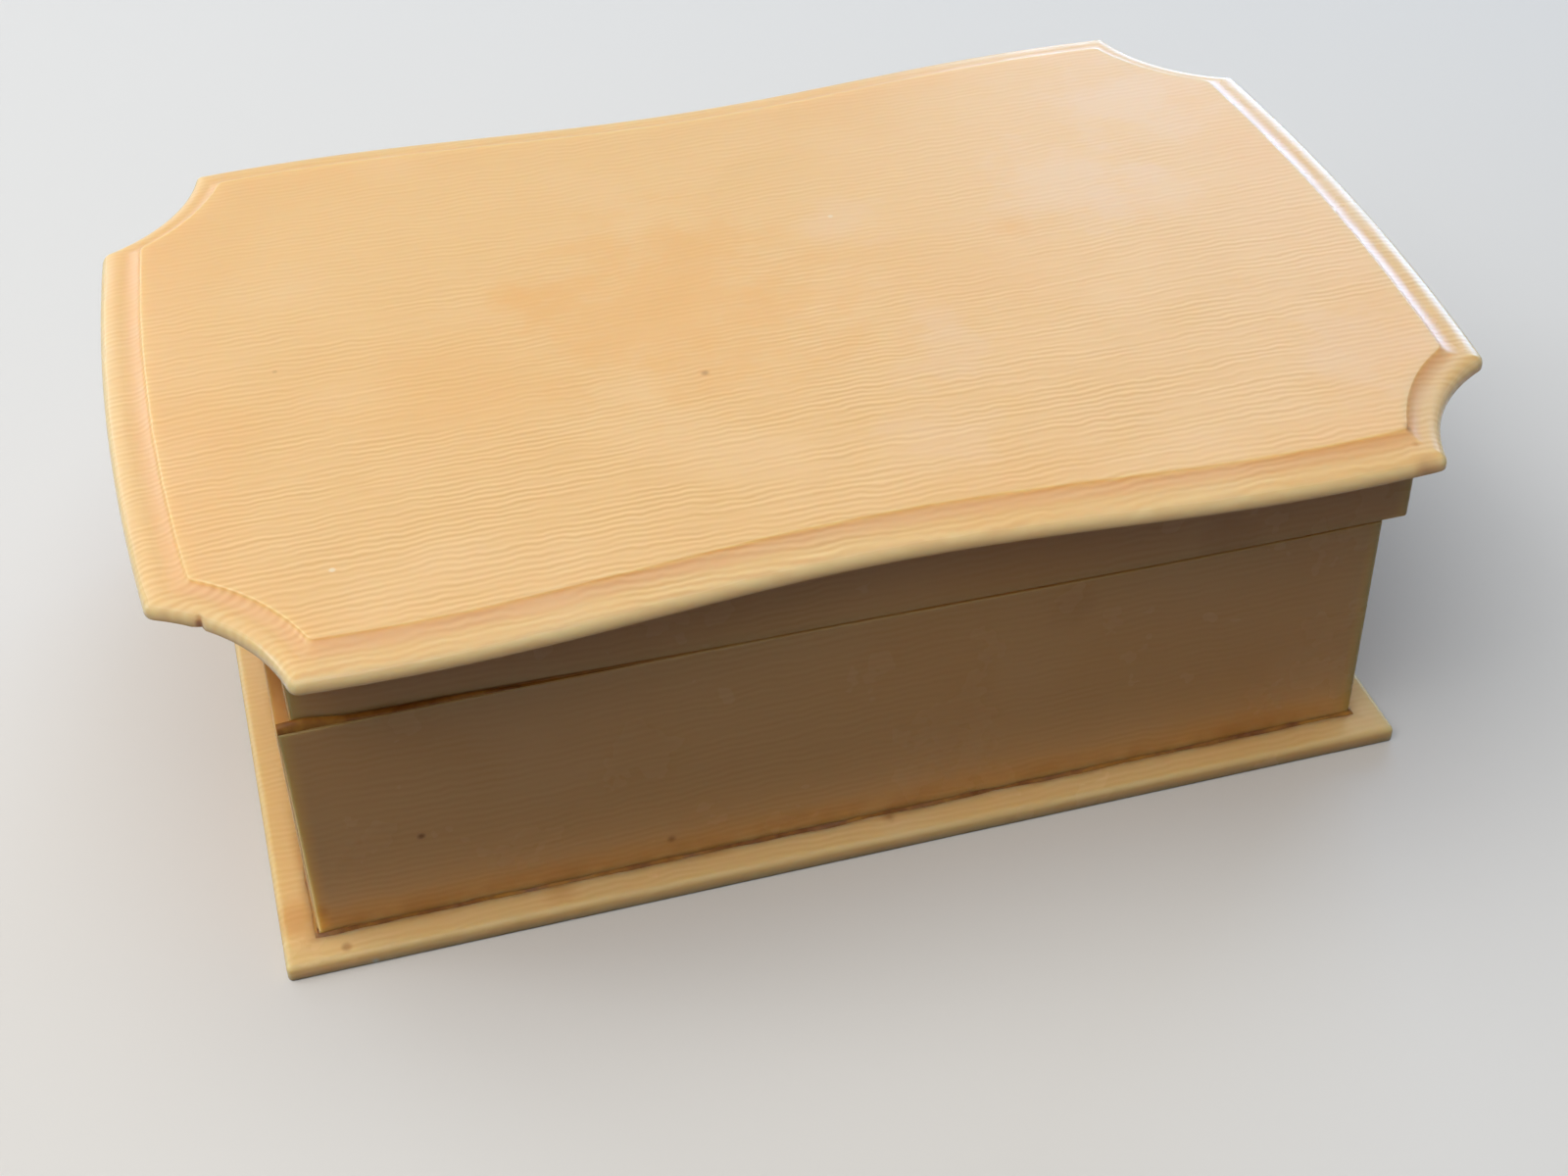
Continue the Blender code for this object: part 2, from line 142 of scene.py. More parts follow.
def add_mesh(name, points, faces, body, material, replaced=()):
    """A piece from world points and faces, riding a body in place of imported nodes."""
    mesh = bpy.data.meshes.new(name)
    mesh.from_pydata([tuple(point) for point in points], [], faces)
    mesh.validate()
    mesh.materials.append(material)
    mesh.shade_smooth()
    mesh.set_sharp_from_angle(angle=SMOOTH_ANGLE)
    piece = bpy.data.objects.new(name, mesh)
    bpy.context.scene.collection.objects.link(piece)
    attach(piece, body)
    if replaced:
        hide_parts(*replaced)
    return piece


def stack_faces(ring_count, point_count):
    """Faces between rings that run anticlockwise as they climb, and over both ends."""
    faces = []
    for ring in range(ring_count - 1):
        for here in range(point_count):
            there = (here + 1) % point_count
            low = ring * point_count
            high = low + point_count
            faces.append((low + here, low + there, high + there, high + here))
    last = (ring_count - 1) * point_count
    faces.append(tuple(reversed(range(point_count))))
    faces.append(tuple(range(last, last + point_count)))
    return faces


class LidOutline:
    """A quarter of the lid plate's outline at any inset, as in the part's source."""

    def __init__(self, end_middle, bulge_y):
        self.side_tip_x = end_middle - END_BOW
        self.front_tip_x = self.side_tip_x - SCOOP_LENGTH
        self.bulge_x = self.front_tip_x * BULGE_PLACE_SHARE
        self.dip_y = bulge_y - SIDE_DIP
        self.side_tip_y = self.side(self.front_tip_x, 0).y - SCOOP_DEPTH
        self.end_radius = (self.side_tip_y ** 2 + END_BOW ** 2) / (2 * END_BOW)
        self.end_centre_x = end_middle - self.end_radius
        chord = Vector((-SCOOP_LENGTH, SCOOP_DEPTH))
        self.scoop_radius = (chord.length ** 2 / 4 + SCOOP_HOLLOW ** 2) / (2 * SCOOP_HOLLOW)
        chord_middle = Vector((self.side_tip_x, self.side_tip_y)) + chord / 2
        outward = Vector((SCOOP_DEPTH, SCOOP_LENGTH)).normalized()
        self.scoop_centre = chord_middle + outward * (self.scoop_radius - SCOOP_HOLLOW)

    def side(self, x, inset):
        """Point of the long serpentine side, moved square to it by the inset."""
        wave = math.pi / self.bulge_x
        height = self.dip_y + SIDE_DIP * (1 - math.cos(wave * x)) / 2
        slope = SIDE_DIP * wave * math.sin(wave * x) / 2
        return Vector((x, height)) + Vector((slope, -1)).normalized() * inset

    def end(self, angle, inset):
        """Point of the bowed end, whose arc is centred on the X axis."""
        radius = self.end_radius - inset
        return Vector((self.end_centre_x + radius * math.cos(angle), radius * math.sin(angle)))

    def scoop_arc(self, inset):
        """Radius of the scooped corner's arc at an inset."""
        return self.scoop_radius + inset * SCOOP_INSET_SHARE

    def scoop(self, angle, inset):
        """Point of the scooped corner."""
        return self.scoop_centre + Vector((math.cos(angle), math.sin(angle))) * self.scoop_arc(inset)

    def reach(self, point, inset):
        """How far a point lies outside the scoop's arc."""
        return (point - self.scoop_centre).length - self.scoop_arc(inset)

    def scoop_angle(self, point):
        """Direction of a point from the scoop's centre, between 0 and a full turn."""
        away = point - self.scoop_centre
        return math.atan2(away.y, away.x) % math.tau

    def quarter(self, inset, tip_round):
        """Points from the middle of the end, over the scoop, to the middle of the side."""
        end_limit = 2 * self.side_tip_y / self.end_radius
        end_angle = bisect(lambda a: self.reach(self.end(a, inset), inset), 0, end_limit)
        side_x = bisect(lambda x: self.reach(self.side(x, inset), inset), 0, self.side_tip_x)
        first = self.scoop_angle(self.end(end_angle, inset))
        last = self.scoop_angle(self.side(side_x, inset))
        end_run = end_angle - tip_round / (self.end_radius - inset)
        scoop_cut = math.copysign(tip_round / self.scoop_arc(inset), last - first)
        scoop_run = last - first - 2 * scoop_cut
        side_run = side_x - tip_round
        ends = [self.end(end_run * step / HALF_END_STEPS, inset)
                for step in range(HALF_END_STEPS + 1)]
        scoops = [self.scoop(first + scoop_cut + scoop_run * step / SCOOP_STEPS, inset)
                  for step in range(SCOOP_STEPS + 1)]
        sides = [self.side(side_run * (1 - step / HALF_SIDE_STEPS), inset)
                 for step in range(HALF_SIDE_STEPS + 1)]
        return (ends + rounded_tip(ends[-1], self.end(end_angle, inset), scoops[0]) + scoops
                + rounded_tip(scoops[-1], self.side(side_x, inset), sides[0]) + sides)

    def ring(self, inset, tip_round):
        """The whole closed outline, anticlockwise from the right end."""
        first = self.quarter(inset, tip_round)
        second = [Vector((-point.x, point.y)) for point in reversed(first)]
        third = [-point for point in first]
        fourth = [Vector((point.x, -point.y)) for point in reversed(first)]
        return first[:-1] + second[:-1] + third[:-1] + fourth[:-1]


def rounded_tip(before, tip, after):
    """Points of the small curve that takes the place of a corner tip."""
    points = []
    for step in range(1, TIP_STEPS):
        share = step / TIP_STEPS
        ends = before * (1 - share) ** 2 + after * share ** 2
        points.append(ends + tip * 2 * share * (1 - share))
    return points


def arc(centre, radius, start, end, steps):
    """Points of an arc in a section, from one angle in degrees to another."""
    points = []
    for step in range(steps + 1):
        angle = math.radians(start + (end - start) * step / steps)
        points.append((centre[0] + radius * math.cos(angle),
                       centre[1] + radius * math.sin(angle)))
    return points


def lip_nose():
    """The worn upper edge of the lip, from its face to its top, as inset and height."""
    points = []
    for step in range(NOSE_STEPS + 1):
        angle = step / NOSE_STEPS * math.pi / 2
        inward = 1 - math.cos(angle) ** (2 / NOSE_SQUARENESS)
        downward = 1 - math.sin(angle) ** (2 / NOSE_SQUARENESS)
        points.append((NOSE_WIDTH * inward, LIP_THICKNESS - NOSE_HEIGHT * downward))
    return points


def lid_section(rise):
    """Levels of the lid plate: inset, height and how much of the moulding's wear they take."""
    cove_end = LIP_WIDTH + COVE_WIDTH
    levels = [(LIP_UNDER_EASE + SUPPORT, 0.0, 0.0)]
    for inset, height in arc((LIP_UNDER_EASE, LIP_UNDER_EASE), LIP_UNDER_EASE, 270, 180, EDGE_STEPS):
        levels.append((inset, height, 0.0))
    for inset, height in lip_nose():
        levels.append((inset, height, 0.0))
    levels.append((LIP_WIDTH - SUPPORT, LIP_THICKNESS, LIP_WEAR_SHARE))
    slope = 90 - math.degrees(COVE_SWEEP)
    edge_rise = FIELD_EDGE_ROUND * (1 - math.sin(math.radians(slope)))
    edge_run = FIELD_EDGE_ROUND * math.cos(math.radians(slope))
    cove_rise = rise - edge_rise
    for step in range(COVE_STEPS + 1):
        angle = step / COVE_STEPS * COVE_SWEEP
        inset = LIP_WIDTH + COVE_WIDTH * math.sin(angle) / math.sin(COVE_SWEEP)
        height = LIP_THICKNESS + cove_rise * (1 - math.cos(angle)) / (1 - math.cos(COVE_SWEEP))
        wear = LIP_WEAR_SHARE + (1 - LIP_WEAR_SHARE) * step / COVE_STEPS
        levels.append((inset, height, wear))
    top = LIP_THICKNESS + rise
    field_edge = arc((cove_end + edge_run, top - FIELD_EDGE_ROUND), FIELD_EDGE_ROUND,
                     180 - slope, 90, ROUND_STEPS)
    for inset, height in field_edge[1:]:
        levels.append((inset, height, 1.0))
    levels.append((cove_end + edge_run + SUPPORT, top, 0.0))
    return levels


def add_lid_plate(material):
    """The moulded top plate, with a slightly uneven hand-finished cove.

    Four attributes tell the material how far each point is in the cove, on the
    outer edge, low on that edge and on what hands have polished. From the
    first three it paints shade and some dirt in the cove, and light, wear and shade on the edge.
    """
    low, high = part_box("lid_plate")
    middle = Vector(((low.x + high.x) / 2, 0.0, low.z))
    outline = LidOutline((high.x - low.x) / 2, high.y)
    points = []
    coves = []
    edges = []
    lows = []
    polishes = []
    levels = lid_section(high.z - low.z - LIP_THICKNESS)
    for inset, height, wear in levels:
        share = smooth((inset - LIP_WIDTH) / COVE_WIDTH)
        inner_round = INNER_TIP_ROUND + (FIELD_TIP_ROUND - INNER_TIP_ROUND) * share
        ring = outline.ring(inset, max(TIP_ROUND - inset, inner_round))
        for flat in ring:
            place = Vector((flat.x, flat.y, height))
            right_end = smooth(flat.x / outline.side_tip_x - POLISHED_FROM_SHARE)
            calm = 1 - RIGHT_COVE_CALM * right_end
            push = noise.noise(place / COVE_WOBBLE_LENGTH) * COVE_WOBBLE * wear * calm
            apart = (middle.xy + flat - NICK_PLACE).length
            push += NICK_DEPTH * smooth(1 - apart / NICK_RADIUS)
            points.append(middle + place + Vector((-flat.x, -flat.y, 0)).normalized() * push)
            across_cove = min(max((inset - LIP_WIDTH) / COVE_WIDTH, 0.0), 1.0)
            coves.append(math.sin(math.pi * across_cove))
            outside = 1 - smooth((inset - LIP_UNDER_EASE) / EDGE_FADE)
            moulding = 1 - smooth((inset - LIP_WIDTH - COVE_WIDTH) / SUPPORT)
            polishes.append(max(right_end * moulding, outside * EDGE_POLISH))
            edges.append(outside)
            lows.append(outside * (1 - smooth(height / LOW_EDGE_HEIGHT)))
    faces = stack_faces(len(levels), len(ring))
    piece = add_mesh("lid_top", points, faces, "lid", material, ("lid_plate",))
    for name, values in (("cove", coves), ("edge", edges), ("low_edge", lows), ("polish", polishes)):
        attribute = piece.data.attributes.new(name, "FLOAT", "POINT")
        attribute.data.foreach_set("value", values)
    return piece


def board_section(thickness, height, draw_in, worn=0.0):
    """Rounded section of a board as depth and height, drawn in all round at its ends.

    Worn is how far the outer face has been taken back.
    """
    far = thickness - draw_in
    near = draw_in + worn
    top = height - draw_in
    corners = ((far, top, 0), (near, top, 90), (near, draw_in, 180), (far, draw_in, 270))
    points = []
    for x, z, start in corners:
        inward = (-1 if x == far else 1, -1 if z == top else 1)
        centre = (x + inward[0] * BOARD_ROUND, z + inward[1] * BOARD_ROUND)
        bend = arc(centre, BOARD_ROUND, start, start + 90, EDGE_STEPS)
        along_z = (x, centre[1] + inward[1] * SUPPORT)
        along_x = (centre[0] + inward[0] * SUPPORT, z)
        first, last = (along_z, along_x) if start % 180 == 0 else (along_x, along_z)
        points.extend([first] + bend + [last])
    return points


def add_board(name, node, side, box, body, material, shape):
    """A mitred board on one side of a rectangular frame of boards.

    Sides count from the front, anticlockwise seen from above. The box is the
    frame's outer low and high corners, and the node's own thickness is kept.
    Shape moves each point to where the hand work and wear have it.
    """
    low, high = box
    node_low, node_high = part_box(node)
    spans = (node_high.y - node_low.y, node_high.x - node_low.x)
    thickness = spans[side % 2]
    middle = (low + high) / 2
    half_length = ((high.x - low.x) / 2, (high.y - low.y) / 2)[side % 2] - HAIRLINE
    distance = ((high.y - low.y) / 2, (high.x - low.x) / 2)[side % 2]
    turn = Matrix.Rotation(side * math.pi / 2, 3, "Z")
    height = high.z - low.z
    full = board_section(thickness, height, 0.0)
    bend = []
    for step in range(CORNER_STEPS + 1):
        angle = math.pi / 4 * (1 - step / CORNER_STEPS)
        worn = CORNER_ROUND * (1 - math.cos(angle))
        shift = CORNER_ROUND * (math.cos(angle) - math.sin(angle)) + MITRE_EASE
        bend.append((board_section(thickness, height, 0.0, worn), shift))
    tip = board_section(thickness, height, MITRE_EASE, CORNER_ROUND * (1 - math.cos(math.pi / 4)))
    bend = [(tip, 0.0)] + bend + [(full, CORNER_ROUND + MITRE_EASE + SUPPORT)]
    stations = [(section, 0.0, shift) for section, shift in bend]
    stations += [(full, step / BOARD_RINGS, 0.0) for step in range(1, BOARD_RINGS)]
    stations += [(section, 1.0, -shift) for section, shift in reversed(bend)]
    points = []
    for section, share, shift in stations:
        for depth, z in section:
            reach = half_length - depth
            local = Vector((-reach + 2 * reach * share + shift, depth - distance, z))
            point = turn @ local + Vector((middle.x, middle.y, low.z))
            points.append(shape(point))
    faces = stack_faces(len(stations), len(full))
    return add_mesh(name, points, faces, body, material, (node,))


def frame_box(prefix, bottom, top):
    """Outer low and high corners of four boards, with their own bottom and top heights."""
    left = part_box(prefix.format("left"))[0]
    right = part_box(prefix.format("right"))[1]
    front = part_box(prefix.format("front"))[0]
    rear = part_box(prefix.format("rear"))[1]
    return Vector((left.x, front.y, bottom)), Vector((right.x, rear.y, top))


def seam_climb(point, box, share_of_height):
    """Lift a point of a wall or rim with the seam, which climbs to the front left corner."""
    share = (point.x - box[0].x) / (box[1].x - box[0].x)
    along = smooth((SEAM_LEVEL_FROM_SHARE - share) / (SEAM_LEVEL_FROM_SHARE - SEAM_CLIMBED_FROM_SHARE))
    across = 1 - (point.y - box[0].y) / (box[1].y - box[0].y)
    return point + Vector((0, 0, SEAM_CLIMB * along * across * share_of_height))


def add_walls(materials):
    """The four walls, closed down to the base plate and up to the seam."""
    base_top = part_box("base_plate")[1].z
    seam = (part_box("front_wall")[1].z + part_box("lid_front_rim")[0].z) / 2
    box = frame_box("{}_wall", base_top + HAIRLINE, seam - LID_SEAM / 2)

    def climbing(point):
        """The walls' upper edges follow the seam."""
        return seam_climb(point, box, (point.z - box[0].z) / (box[1].z - box[0].z))

    def open_corner(point):
        """The cement has let go low down at the front left corner."""
        near = smooth(1 - (point.y - box[0].y) / CORNER_OPENING_HEIGHT)
        low = smooth(1 - (point.z - base_top) / CORNER_OPENING_HEIGHT)
        return climbing(point) + Vector((0, CORNER_OPENING * near * low, 0))

    for side, name in enumerate(("front", "right", "rear", "left")):
        shape = open_corner if name == "left" else climbing
        add_board(f"{name}_board", f"{name}_wall", side, box, "box", materials[side % 2], shape)
    return box


def add_rims(materials):
    """The four rim boards under the lid plate, the front one set back at its left end.

    Returns their box and the setting back, which the cement follows.
    """
    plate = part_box("lid_plate")[0].z
    seam = (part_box("front_wall")[1].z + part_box("lid_front_rim")[0].z) / 2
    box = frame_box("lid_{}_rim", seam + LID_SEAM / 2, plate - HAIRLINE)
    length = box[1].x - box[0].x
    depth = box[1].y - box[0].y

    def set_back(point):
        """The left part of the front was glued a little too far back."""
        along = smooth(1 - (point.x - box[0].x) / (length * RIM_SET_BACK_END_SHARE))
        across = smooth(1 - (point.y - box[0].y) / depth)
        return point + Vector((0, RIM_SET_BACK * along * across, 0))

    def climbing(point):
        """The rims' lower edges follow the seam."""
        return set_back(seam_climb(point, box, (box[1].z - point.z) / (box[1].z - box[0].z)))

    for side, name in enumerate(("front", "right", "rear", "left")):
        add_board(f"{name}_rim_board", f"lid_{name}_rim", side, box, "lid", materials[side % 2],
                  climbing)
    return box, set_back


def rounded_rectangle(low, high, radius, inset):
    """A rectangle with rounded corners, drawn in by an inset, anticlockwise."""
    corner = max(radius - inset, radius / 2)
    points = []
    centres = ((high.x, high.y), (low.x, high.y), (low.x, low.y), (high.x, low.y))
    for quarter, (x, y) in enumerate(centres):
        centre_x = x - math.copysign(corner + inset, x)
        centre_y = y - math.copysign(corner + inset, y)
        start = quarter * 90
        points += arc((centre_x, centre_y), corner, start, start + 90, EDGE_STEPS)
    return points


def add_base(material):
    """The base plate, with its upper edge rounded over."""
    low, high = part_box("base_plate")
    levels = [(BASE_UNDER_EASE + SUPPORT, 0.0)]
    levels += arc((BASE_UNDER_EASE, BASE_UNDER_EASE), BASE_UNDER_EASE, 270, 180, EDGE_STEPS)
    levels += arc((BASE_TOP_ROUND, high.z - BASE_TOP_ROUND), BASE_TOP_ROUND, 180, 90, ROUND_STEPS)
    levels.append((BASE_TOP_ROUND + SUPPORT, high.z))
    points = []
    for inset, height in levels:
        ring = rounded_rectangle(low, high, BASE_CORNER_ROUND, inset)
        points += [Vector((x, y, height)) for x, y in ring]
    faces = stack_faces(len(levels), len(ring))
    return add_mesh("base_sheet", points, faces, "box", material, ("base_plate",))


# Beads of cement
BEAD_SIZE = 0.34 * MM
BEAD_STEP = 0.8 * MM
BEAD_UNEVEN_LENGTH = 4.0 * MM
BEAD_UNEVEN_SHARE = 0.75
BEAD_BULGE_SHARE = 0.42
BEAD_RISE_SEED = 1.7


def add_bead(name, low, high, outward, height, rise, body, material, shape=None):
    """A bead of cement in the angle between upright boards and a flat sheet.

    It runs round the rectangle from low to high. Outward is 1 outside the
    boards and -1 inside them, and rise is 1 above the sheet and -1 below it.
    Shape moves each point with the boards.
    """
    corners = [Vector((low.x, low.y)), Vector((high.x, low.y)),
               Vector((high.x, high.y)), Vector((low.x, high.y))]
    points = []
    for number, corner in enumerate(corners):
        following = corners[(number + 1) % 4]
        run = following - corner
        steps = int(run.length / BEAD_STEP)
        normal = Vector((run.y, -run.x)).normalized() * outward
        before = (corner - corners[number - 1]).normalized()
        mitre = Vector((before.y, -before.x)) * outward
        for step in range(steps):
            place = corner + run * step / steps
            way = normal + mitre if step == 0 else normal
            seed = Vector((place.x, place.y, height * number)) / BEAD_UNEVEN_LENGTH
            size = BEAD_SIZE * (1 + BEAD_UNEVEN_SHARE * noise.noise(seed))
            rise_size = BEAD_SIZE * (1 + BEAD_UNEVEN_SHARE * noise.noise(seed * BEAD_RISE_SEED))
            bulge = way * size * BEAD_BULGE_SHARE
            inner = place - way * HAIRLINE
            outer = place + way * size
            middle = place + bulge
            foot = height - rise * HAIRLINE
            points.append(Vector((inner.x, inner.y, foot)))
            points.append(Vector((outer.x, outer.y, foot)))
            points.append(Vector((middle.x, middle.y, height + rise * rise_size * BEAD_BULGE_SHARE)))
            points.append(Vector((inner.x, inner.y, height + rise * rise_size)))
    count = len(points) // 4
    faces = []
    for here in range(count):
        there = (here + 1) % count
        for edge in range(4):
            following = (edge + 1) % 4
            quad = (here * 4 + edge, there * 4 + edge, there * 4 + following, here * 4 + following)
            faces.append(quad if outward * rise < 0 else tuple(reversed(quad)))
    if shape:
        points = [shape(point) for point in points]
    return add_mesh(name, points, faces, body, material)


# Cement squeezed out along the seam, where the rim is set back
RESIDUE_STEP = 0.5 * MM
RESIDUE_LENGTH_SHARE = 0.33
RESIDUE_HEIGHT = 0.3 * MM
RESIDUE_CORNER_HEIGHT = 0.8 * MM
RESIDUE_CORNER_LENGTH = 8.0 * MM
RESIDUE_EDGE = 0.2 * MM
RESIDUE_FRONT_SHARE = 0.55
RESIDUE_SHOULDER_SHARE = 0.8
RESIDUE_SHOULDER_RISE = 0.5
RESIDUE_MIDDLE_RISE = 0.9


def add_seam_residue(wall_box, set_back, rim_front, material):
    """Old cement on the front wall's top edge, thicker towards the left corner."""
    start = wall_box[0].x + RESIDUE_EDGE
    length = (wall_box[1].x - wall_box[0].x) * RESIDUE_LENGTH_SHARE
    steps = int(length / RESIDUE_STEP)
    top = wall_box[1].z
    points = []
    for step in range(steps + 1):
        x = start + length * step / steps
        fade = 1 - smooth((x - start) / length)
        corner = smooth(1 - (x - start) / RESIDUE_CORNER_LENGTH)
        uneven = 1 + BEAD_UNEVEN_SHARE * noise.noise(Vector((x, 0, top)) / RESIDUE_CORNER_LENGTH)
        rise = (RESIDUE_HEIGHT * fade + RESIDUE_CORNER_HEIGHT * corner) * uneven + HAIRLINE
        front = wall_box[0].y + RESIDUE_EDGE * uneven
        back = max(set_back(Vector((x, rim_front, top))).y - HAIRLINE, front + HAIRLINE)
        middle = front * RESIDUE_FRONT_SHARE + back * (1 - RESIDUE_FRONT_SHARE)
        shoulder = front * RESIDUE_SHOULDER_SHARE + middle * (1 - RESIDUE_SHOULDER_SHARE)
        section = ((front, -HAIRLINE), (shoulder, rise * RESIDUE_SHOULDER_RISE),
                   (middle, rise * RESIDUE_MIDDLE_RISE), (back, rise), (back, -HAIRLINE))
        for y, up in section:
            points.append(seam_climb(Vector((x, y, top)), wall_box, 1.0) + Vector((0, 0, up)))
    faces = stack_faces(steps + 1, len(section))
    return add_mesh("seam_cement", points, faces, "box", material)


class Shade:
    """Adds and links the nodes of one material."""

    def __init__(self, name):
        self.material = bpy.data.materials.new(name)
        self.material.use_nodes = True
        self.tree = self.material.node_tree
        self.shader = self.tree.nodes["Principled BSDF"]

    def add(self, kind, inputs=(), **settings):
        """A node with its settings, and each input linked or set."""
        made = self.tree.nodes.new(kind)
        for key, value in settings.items():
            setattr(made, key, value)
        for key, value in dict(inputs).items():
            self.put(made.inputs[key], value)
        return made

    def put(self, socket, value):
        """Link a socket to an input, or set the input's value."""
        if isinstance(value, bpy.types.NodeSocket):
            self.tree.links.new(value, socket)
        else:
            socket.default_value = value

    def math(self, operation, first, second=0.0, third=0.0):
        """One arithmetic step."""
        inputs = {0: first, 1: second, 2: third}
        return self.add("ShaderNodeMath", inputs, operation=operation).outputs[0]

    def noise(self, vector, pace, detail=2.0, roughness=0.5):
        """Soft noise between 0 and 1, with a pace per millimetre, or one for each direction."""
        scale = pace
        if isinstance(pace, tuple):
            vector = self.stretch(vector, pace)
            scale = 1.0
        inputs = {"Vector": vector, "Scale": scale, "Detail": detail, "Roughness": roughness}
        return self.add("ShaderNodeTexNoise", inputs).outputs["Fac"]

    def stretch(self, vector, shares):
        """A vector with each direction scaled on its own."""
        inputs = {0: vector, 1: shares}
        return self.add("ShaderNodeVectorMath", inputs, operation="MULTIPLY").outputs[0]

    def span(self, value, low, high, out_low=0.0, out_high=1.0):
        """A value mapped softly from one range to another."""
        inputs = {"Value": value, "From Min": low, "From Max": high,
                  "To Min": out_low, "To Max": out_high}
        return self.add("ShaderNodeMapRange", inputs, interpolation_type="SMOOTHSTEP").outputs["Result"]

    def mix(self, share, first, second):
        """A colour between two others."""
        made = self.add("ShaderNodeMix", data_type="RGBA")
        self.put(made.inputs[0], share)
        self.put(made.inputs[6], first)
        self.put(made.inputs[7], second)
        return made.outputs[2]

    def millimetres(self):
        """The piece's own coordinates in millimetres, which ride with it."""
        place = self.add("ShaderNodeTexCoord").outputs["Object"]
        inputs = {0: place, "Scale": 1 / MM}
        return self.add("ShaderNodeVectorMath", inputs, operation="SCALE").outputs[0]

    def attribute(self, name):
        """A number that the mesh carries at each point."""
        return self.add("ShaderNodeAttribute", attribute_name=name).outputs["Fac"]

    def bump(self, height, strength, distance):
        """Fine relief, linked to the shader."""
        inputs = {"Height": height, "Strength": strength, "Distance": distance}
        self.put(self.shader.inputs["Normal"], self.add("ShaderNodeBump", inputs).outputs["Normal"])

    def scatter(self, weight, radius, depth):
        """Light that goes a little way into the piece."""
        self.shader.inputs["Subsurface Weight"].default_value = weight
        self.shader.inputs["Subsurface Radius"].default_value = radius
        self.shader.inputs["Subsurface Scale"].default_value = depth


# Celluloid colours, as linear light
GRAIN_LIGHT = (0.90, 0.605, 0.285, 1.0)
GRAIN_DARK = (0.72, 0.415, 0.15, 1.0)
CLOUD_WARM = (0.82, 0.455, 0.15, 1.0)
CLOUD_PALE = (0.86, 0.575, 0.30, 1.0)
# Pale haze on the sheet, with painted sheen
HAZE_AND_SHEEN = (0.83, 0.59, 0.39, 1.0)
# Painted shade in the cove, with some dirt
COVE_SHADE_AND_DIRT = (0.80, 0.40, 0.16, 1.0)
# Painted light on the lip's edge, with some wear
EDGE_LIGHT_AND_WEAR = (0.93, 0.68, 0.39, 1.0)
# Painted shade low on the lip's edge, in the amber of a painted glow through the sheet
LOW_EDGE_SHADE_AMBER = (0.60, 0.33, 0.085, 1.0)
STAIN_AMBER = (0.52, 0.235, 0.045, 1.0)
STAIN_BROWN = (0.28, 0.10, 0.02, 1.0)
SPECK_WHITE = (0.92, 0.82, 0.66, 1.0)
CEMENT_AMBER = (0.20, 0.07, 0.008, 1.0)
CEMENT_PALE = (0.40, 0.18, 0.025, 1.0)

# In all that follows, a noise is its pace per millimetre, detail and roughness, and a
# span is where it starts and is full, with what it gives there where that isn't 0 and 1

# Grain lines: spacing in millimetres, and each bend's noise along, across and
# through the sheet with its reach in millimetres
GRAIN_SPACING = 0.955
GRAIN_BENDS = (
    (((0.012, 0.02, 0.02), 1.0), 4.5),
    (((0.17, 0.13, 0.3), 2.5, 0.55), 1.7),
    (((0.02, 0.03, 0.55), 1.0), 2.2),
)
STRENGTH_NOISE = ((0.10, 0.45, 0.3), 1.0)
STRENGTH_SPAN = (0.3, 0.65, 0.10, 0.40)
BROAD_SHARE = 0.07
FIBRE_NOISE = ((0.25, 2.4, 1.2), 1.0)
FIBRE_SHARE = 0.3
GRAIN_MIDDLE = 0.55
GRAIN_CLEAR_TO = -30.0
GRAIN_FAINT_FROM = 40.0
GRAIN_FAINT_SHARE = 0.35

# How much grain each sheet shows
LID_GRAIN = 1.0
BASE_GRAIN = 0.35
BOARD_GRAIN = 0.4

# Clouds in the sheet: noise, span and colour
CLOUDS = (
    ((0.025, 2.0, 0.45), (0.45, 0.80, 0.0, 0.6), CLOUD_WARM),
    ((0.04, 2.0, 0.45), (0.50, 0.85, 0.0, 0.6), CLOUD_PALE),
)

# Colours of the lid's moulding: the mesh's attribute, strength and colour. They are painted shade with
# some dirt in the cove, painted light with some wear on the edge, and painted shade and glow low on the
# edge
MOULDING_TINTS = (
    ("cove", 0.25, COVE_SHADE_AND_DIRT),
    ("edge", 0.5, EDGE_LIGHT_AND_WEAR),
    ("low_edge", 0.85, LOW_EDGE_SHADE_AMBER),
)

# Specks, scattered one to a cell, of which a share is brown and a share white. The
# core and edge are in shares of a cell, and pace is cells per millimetre
SPECK_PACE = 0.07
SPECK_CORE = 0.012
SPECK_EDGE = 0.035
SPECK_BROWN_FROM = 0.8
SPECK_BROWN_STRENGTH = 0.3
SPECK_WHITE_TO = 0.2
SPECK_WHITE_STRENGTH = 0.6

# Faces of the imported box, in millimetres, and the lower part of the lip's face
LIP_FOOT_DROP = 1.2
LID_TOP = round(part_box("lid_plate")[1].z / MM, 2)
LIP_TOP = round(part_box("lid_plate")[0].z / MM, 2) + LIP_THICKNESS / MM
LIP_FOOT = LIP_TOP - LIP_FOOT_DROP
BASE_TOP = round(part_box("base_plate")[1].z / MM, 2)
WALL_FRONT = round(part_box("front_wall")[0].y / MM, 2)
WALL_HALF = [round(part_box("right_wall")[1].x / MM, 3), round(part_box("rear_wall")[1].y / MM, 3)]
WALL_ENDS = (-WALL_HALF[0], WALL_HALF[0])
BOARD_THICKNESS = round(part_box("front_wall")[1].y / MM, 2) - WALL_FRONT
RIM_ENDS = (round(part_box("lid_left_rim")[0].x / MM, 2), round(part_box("lid_right_rim")[1].x / MM, 2))
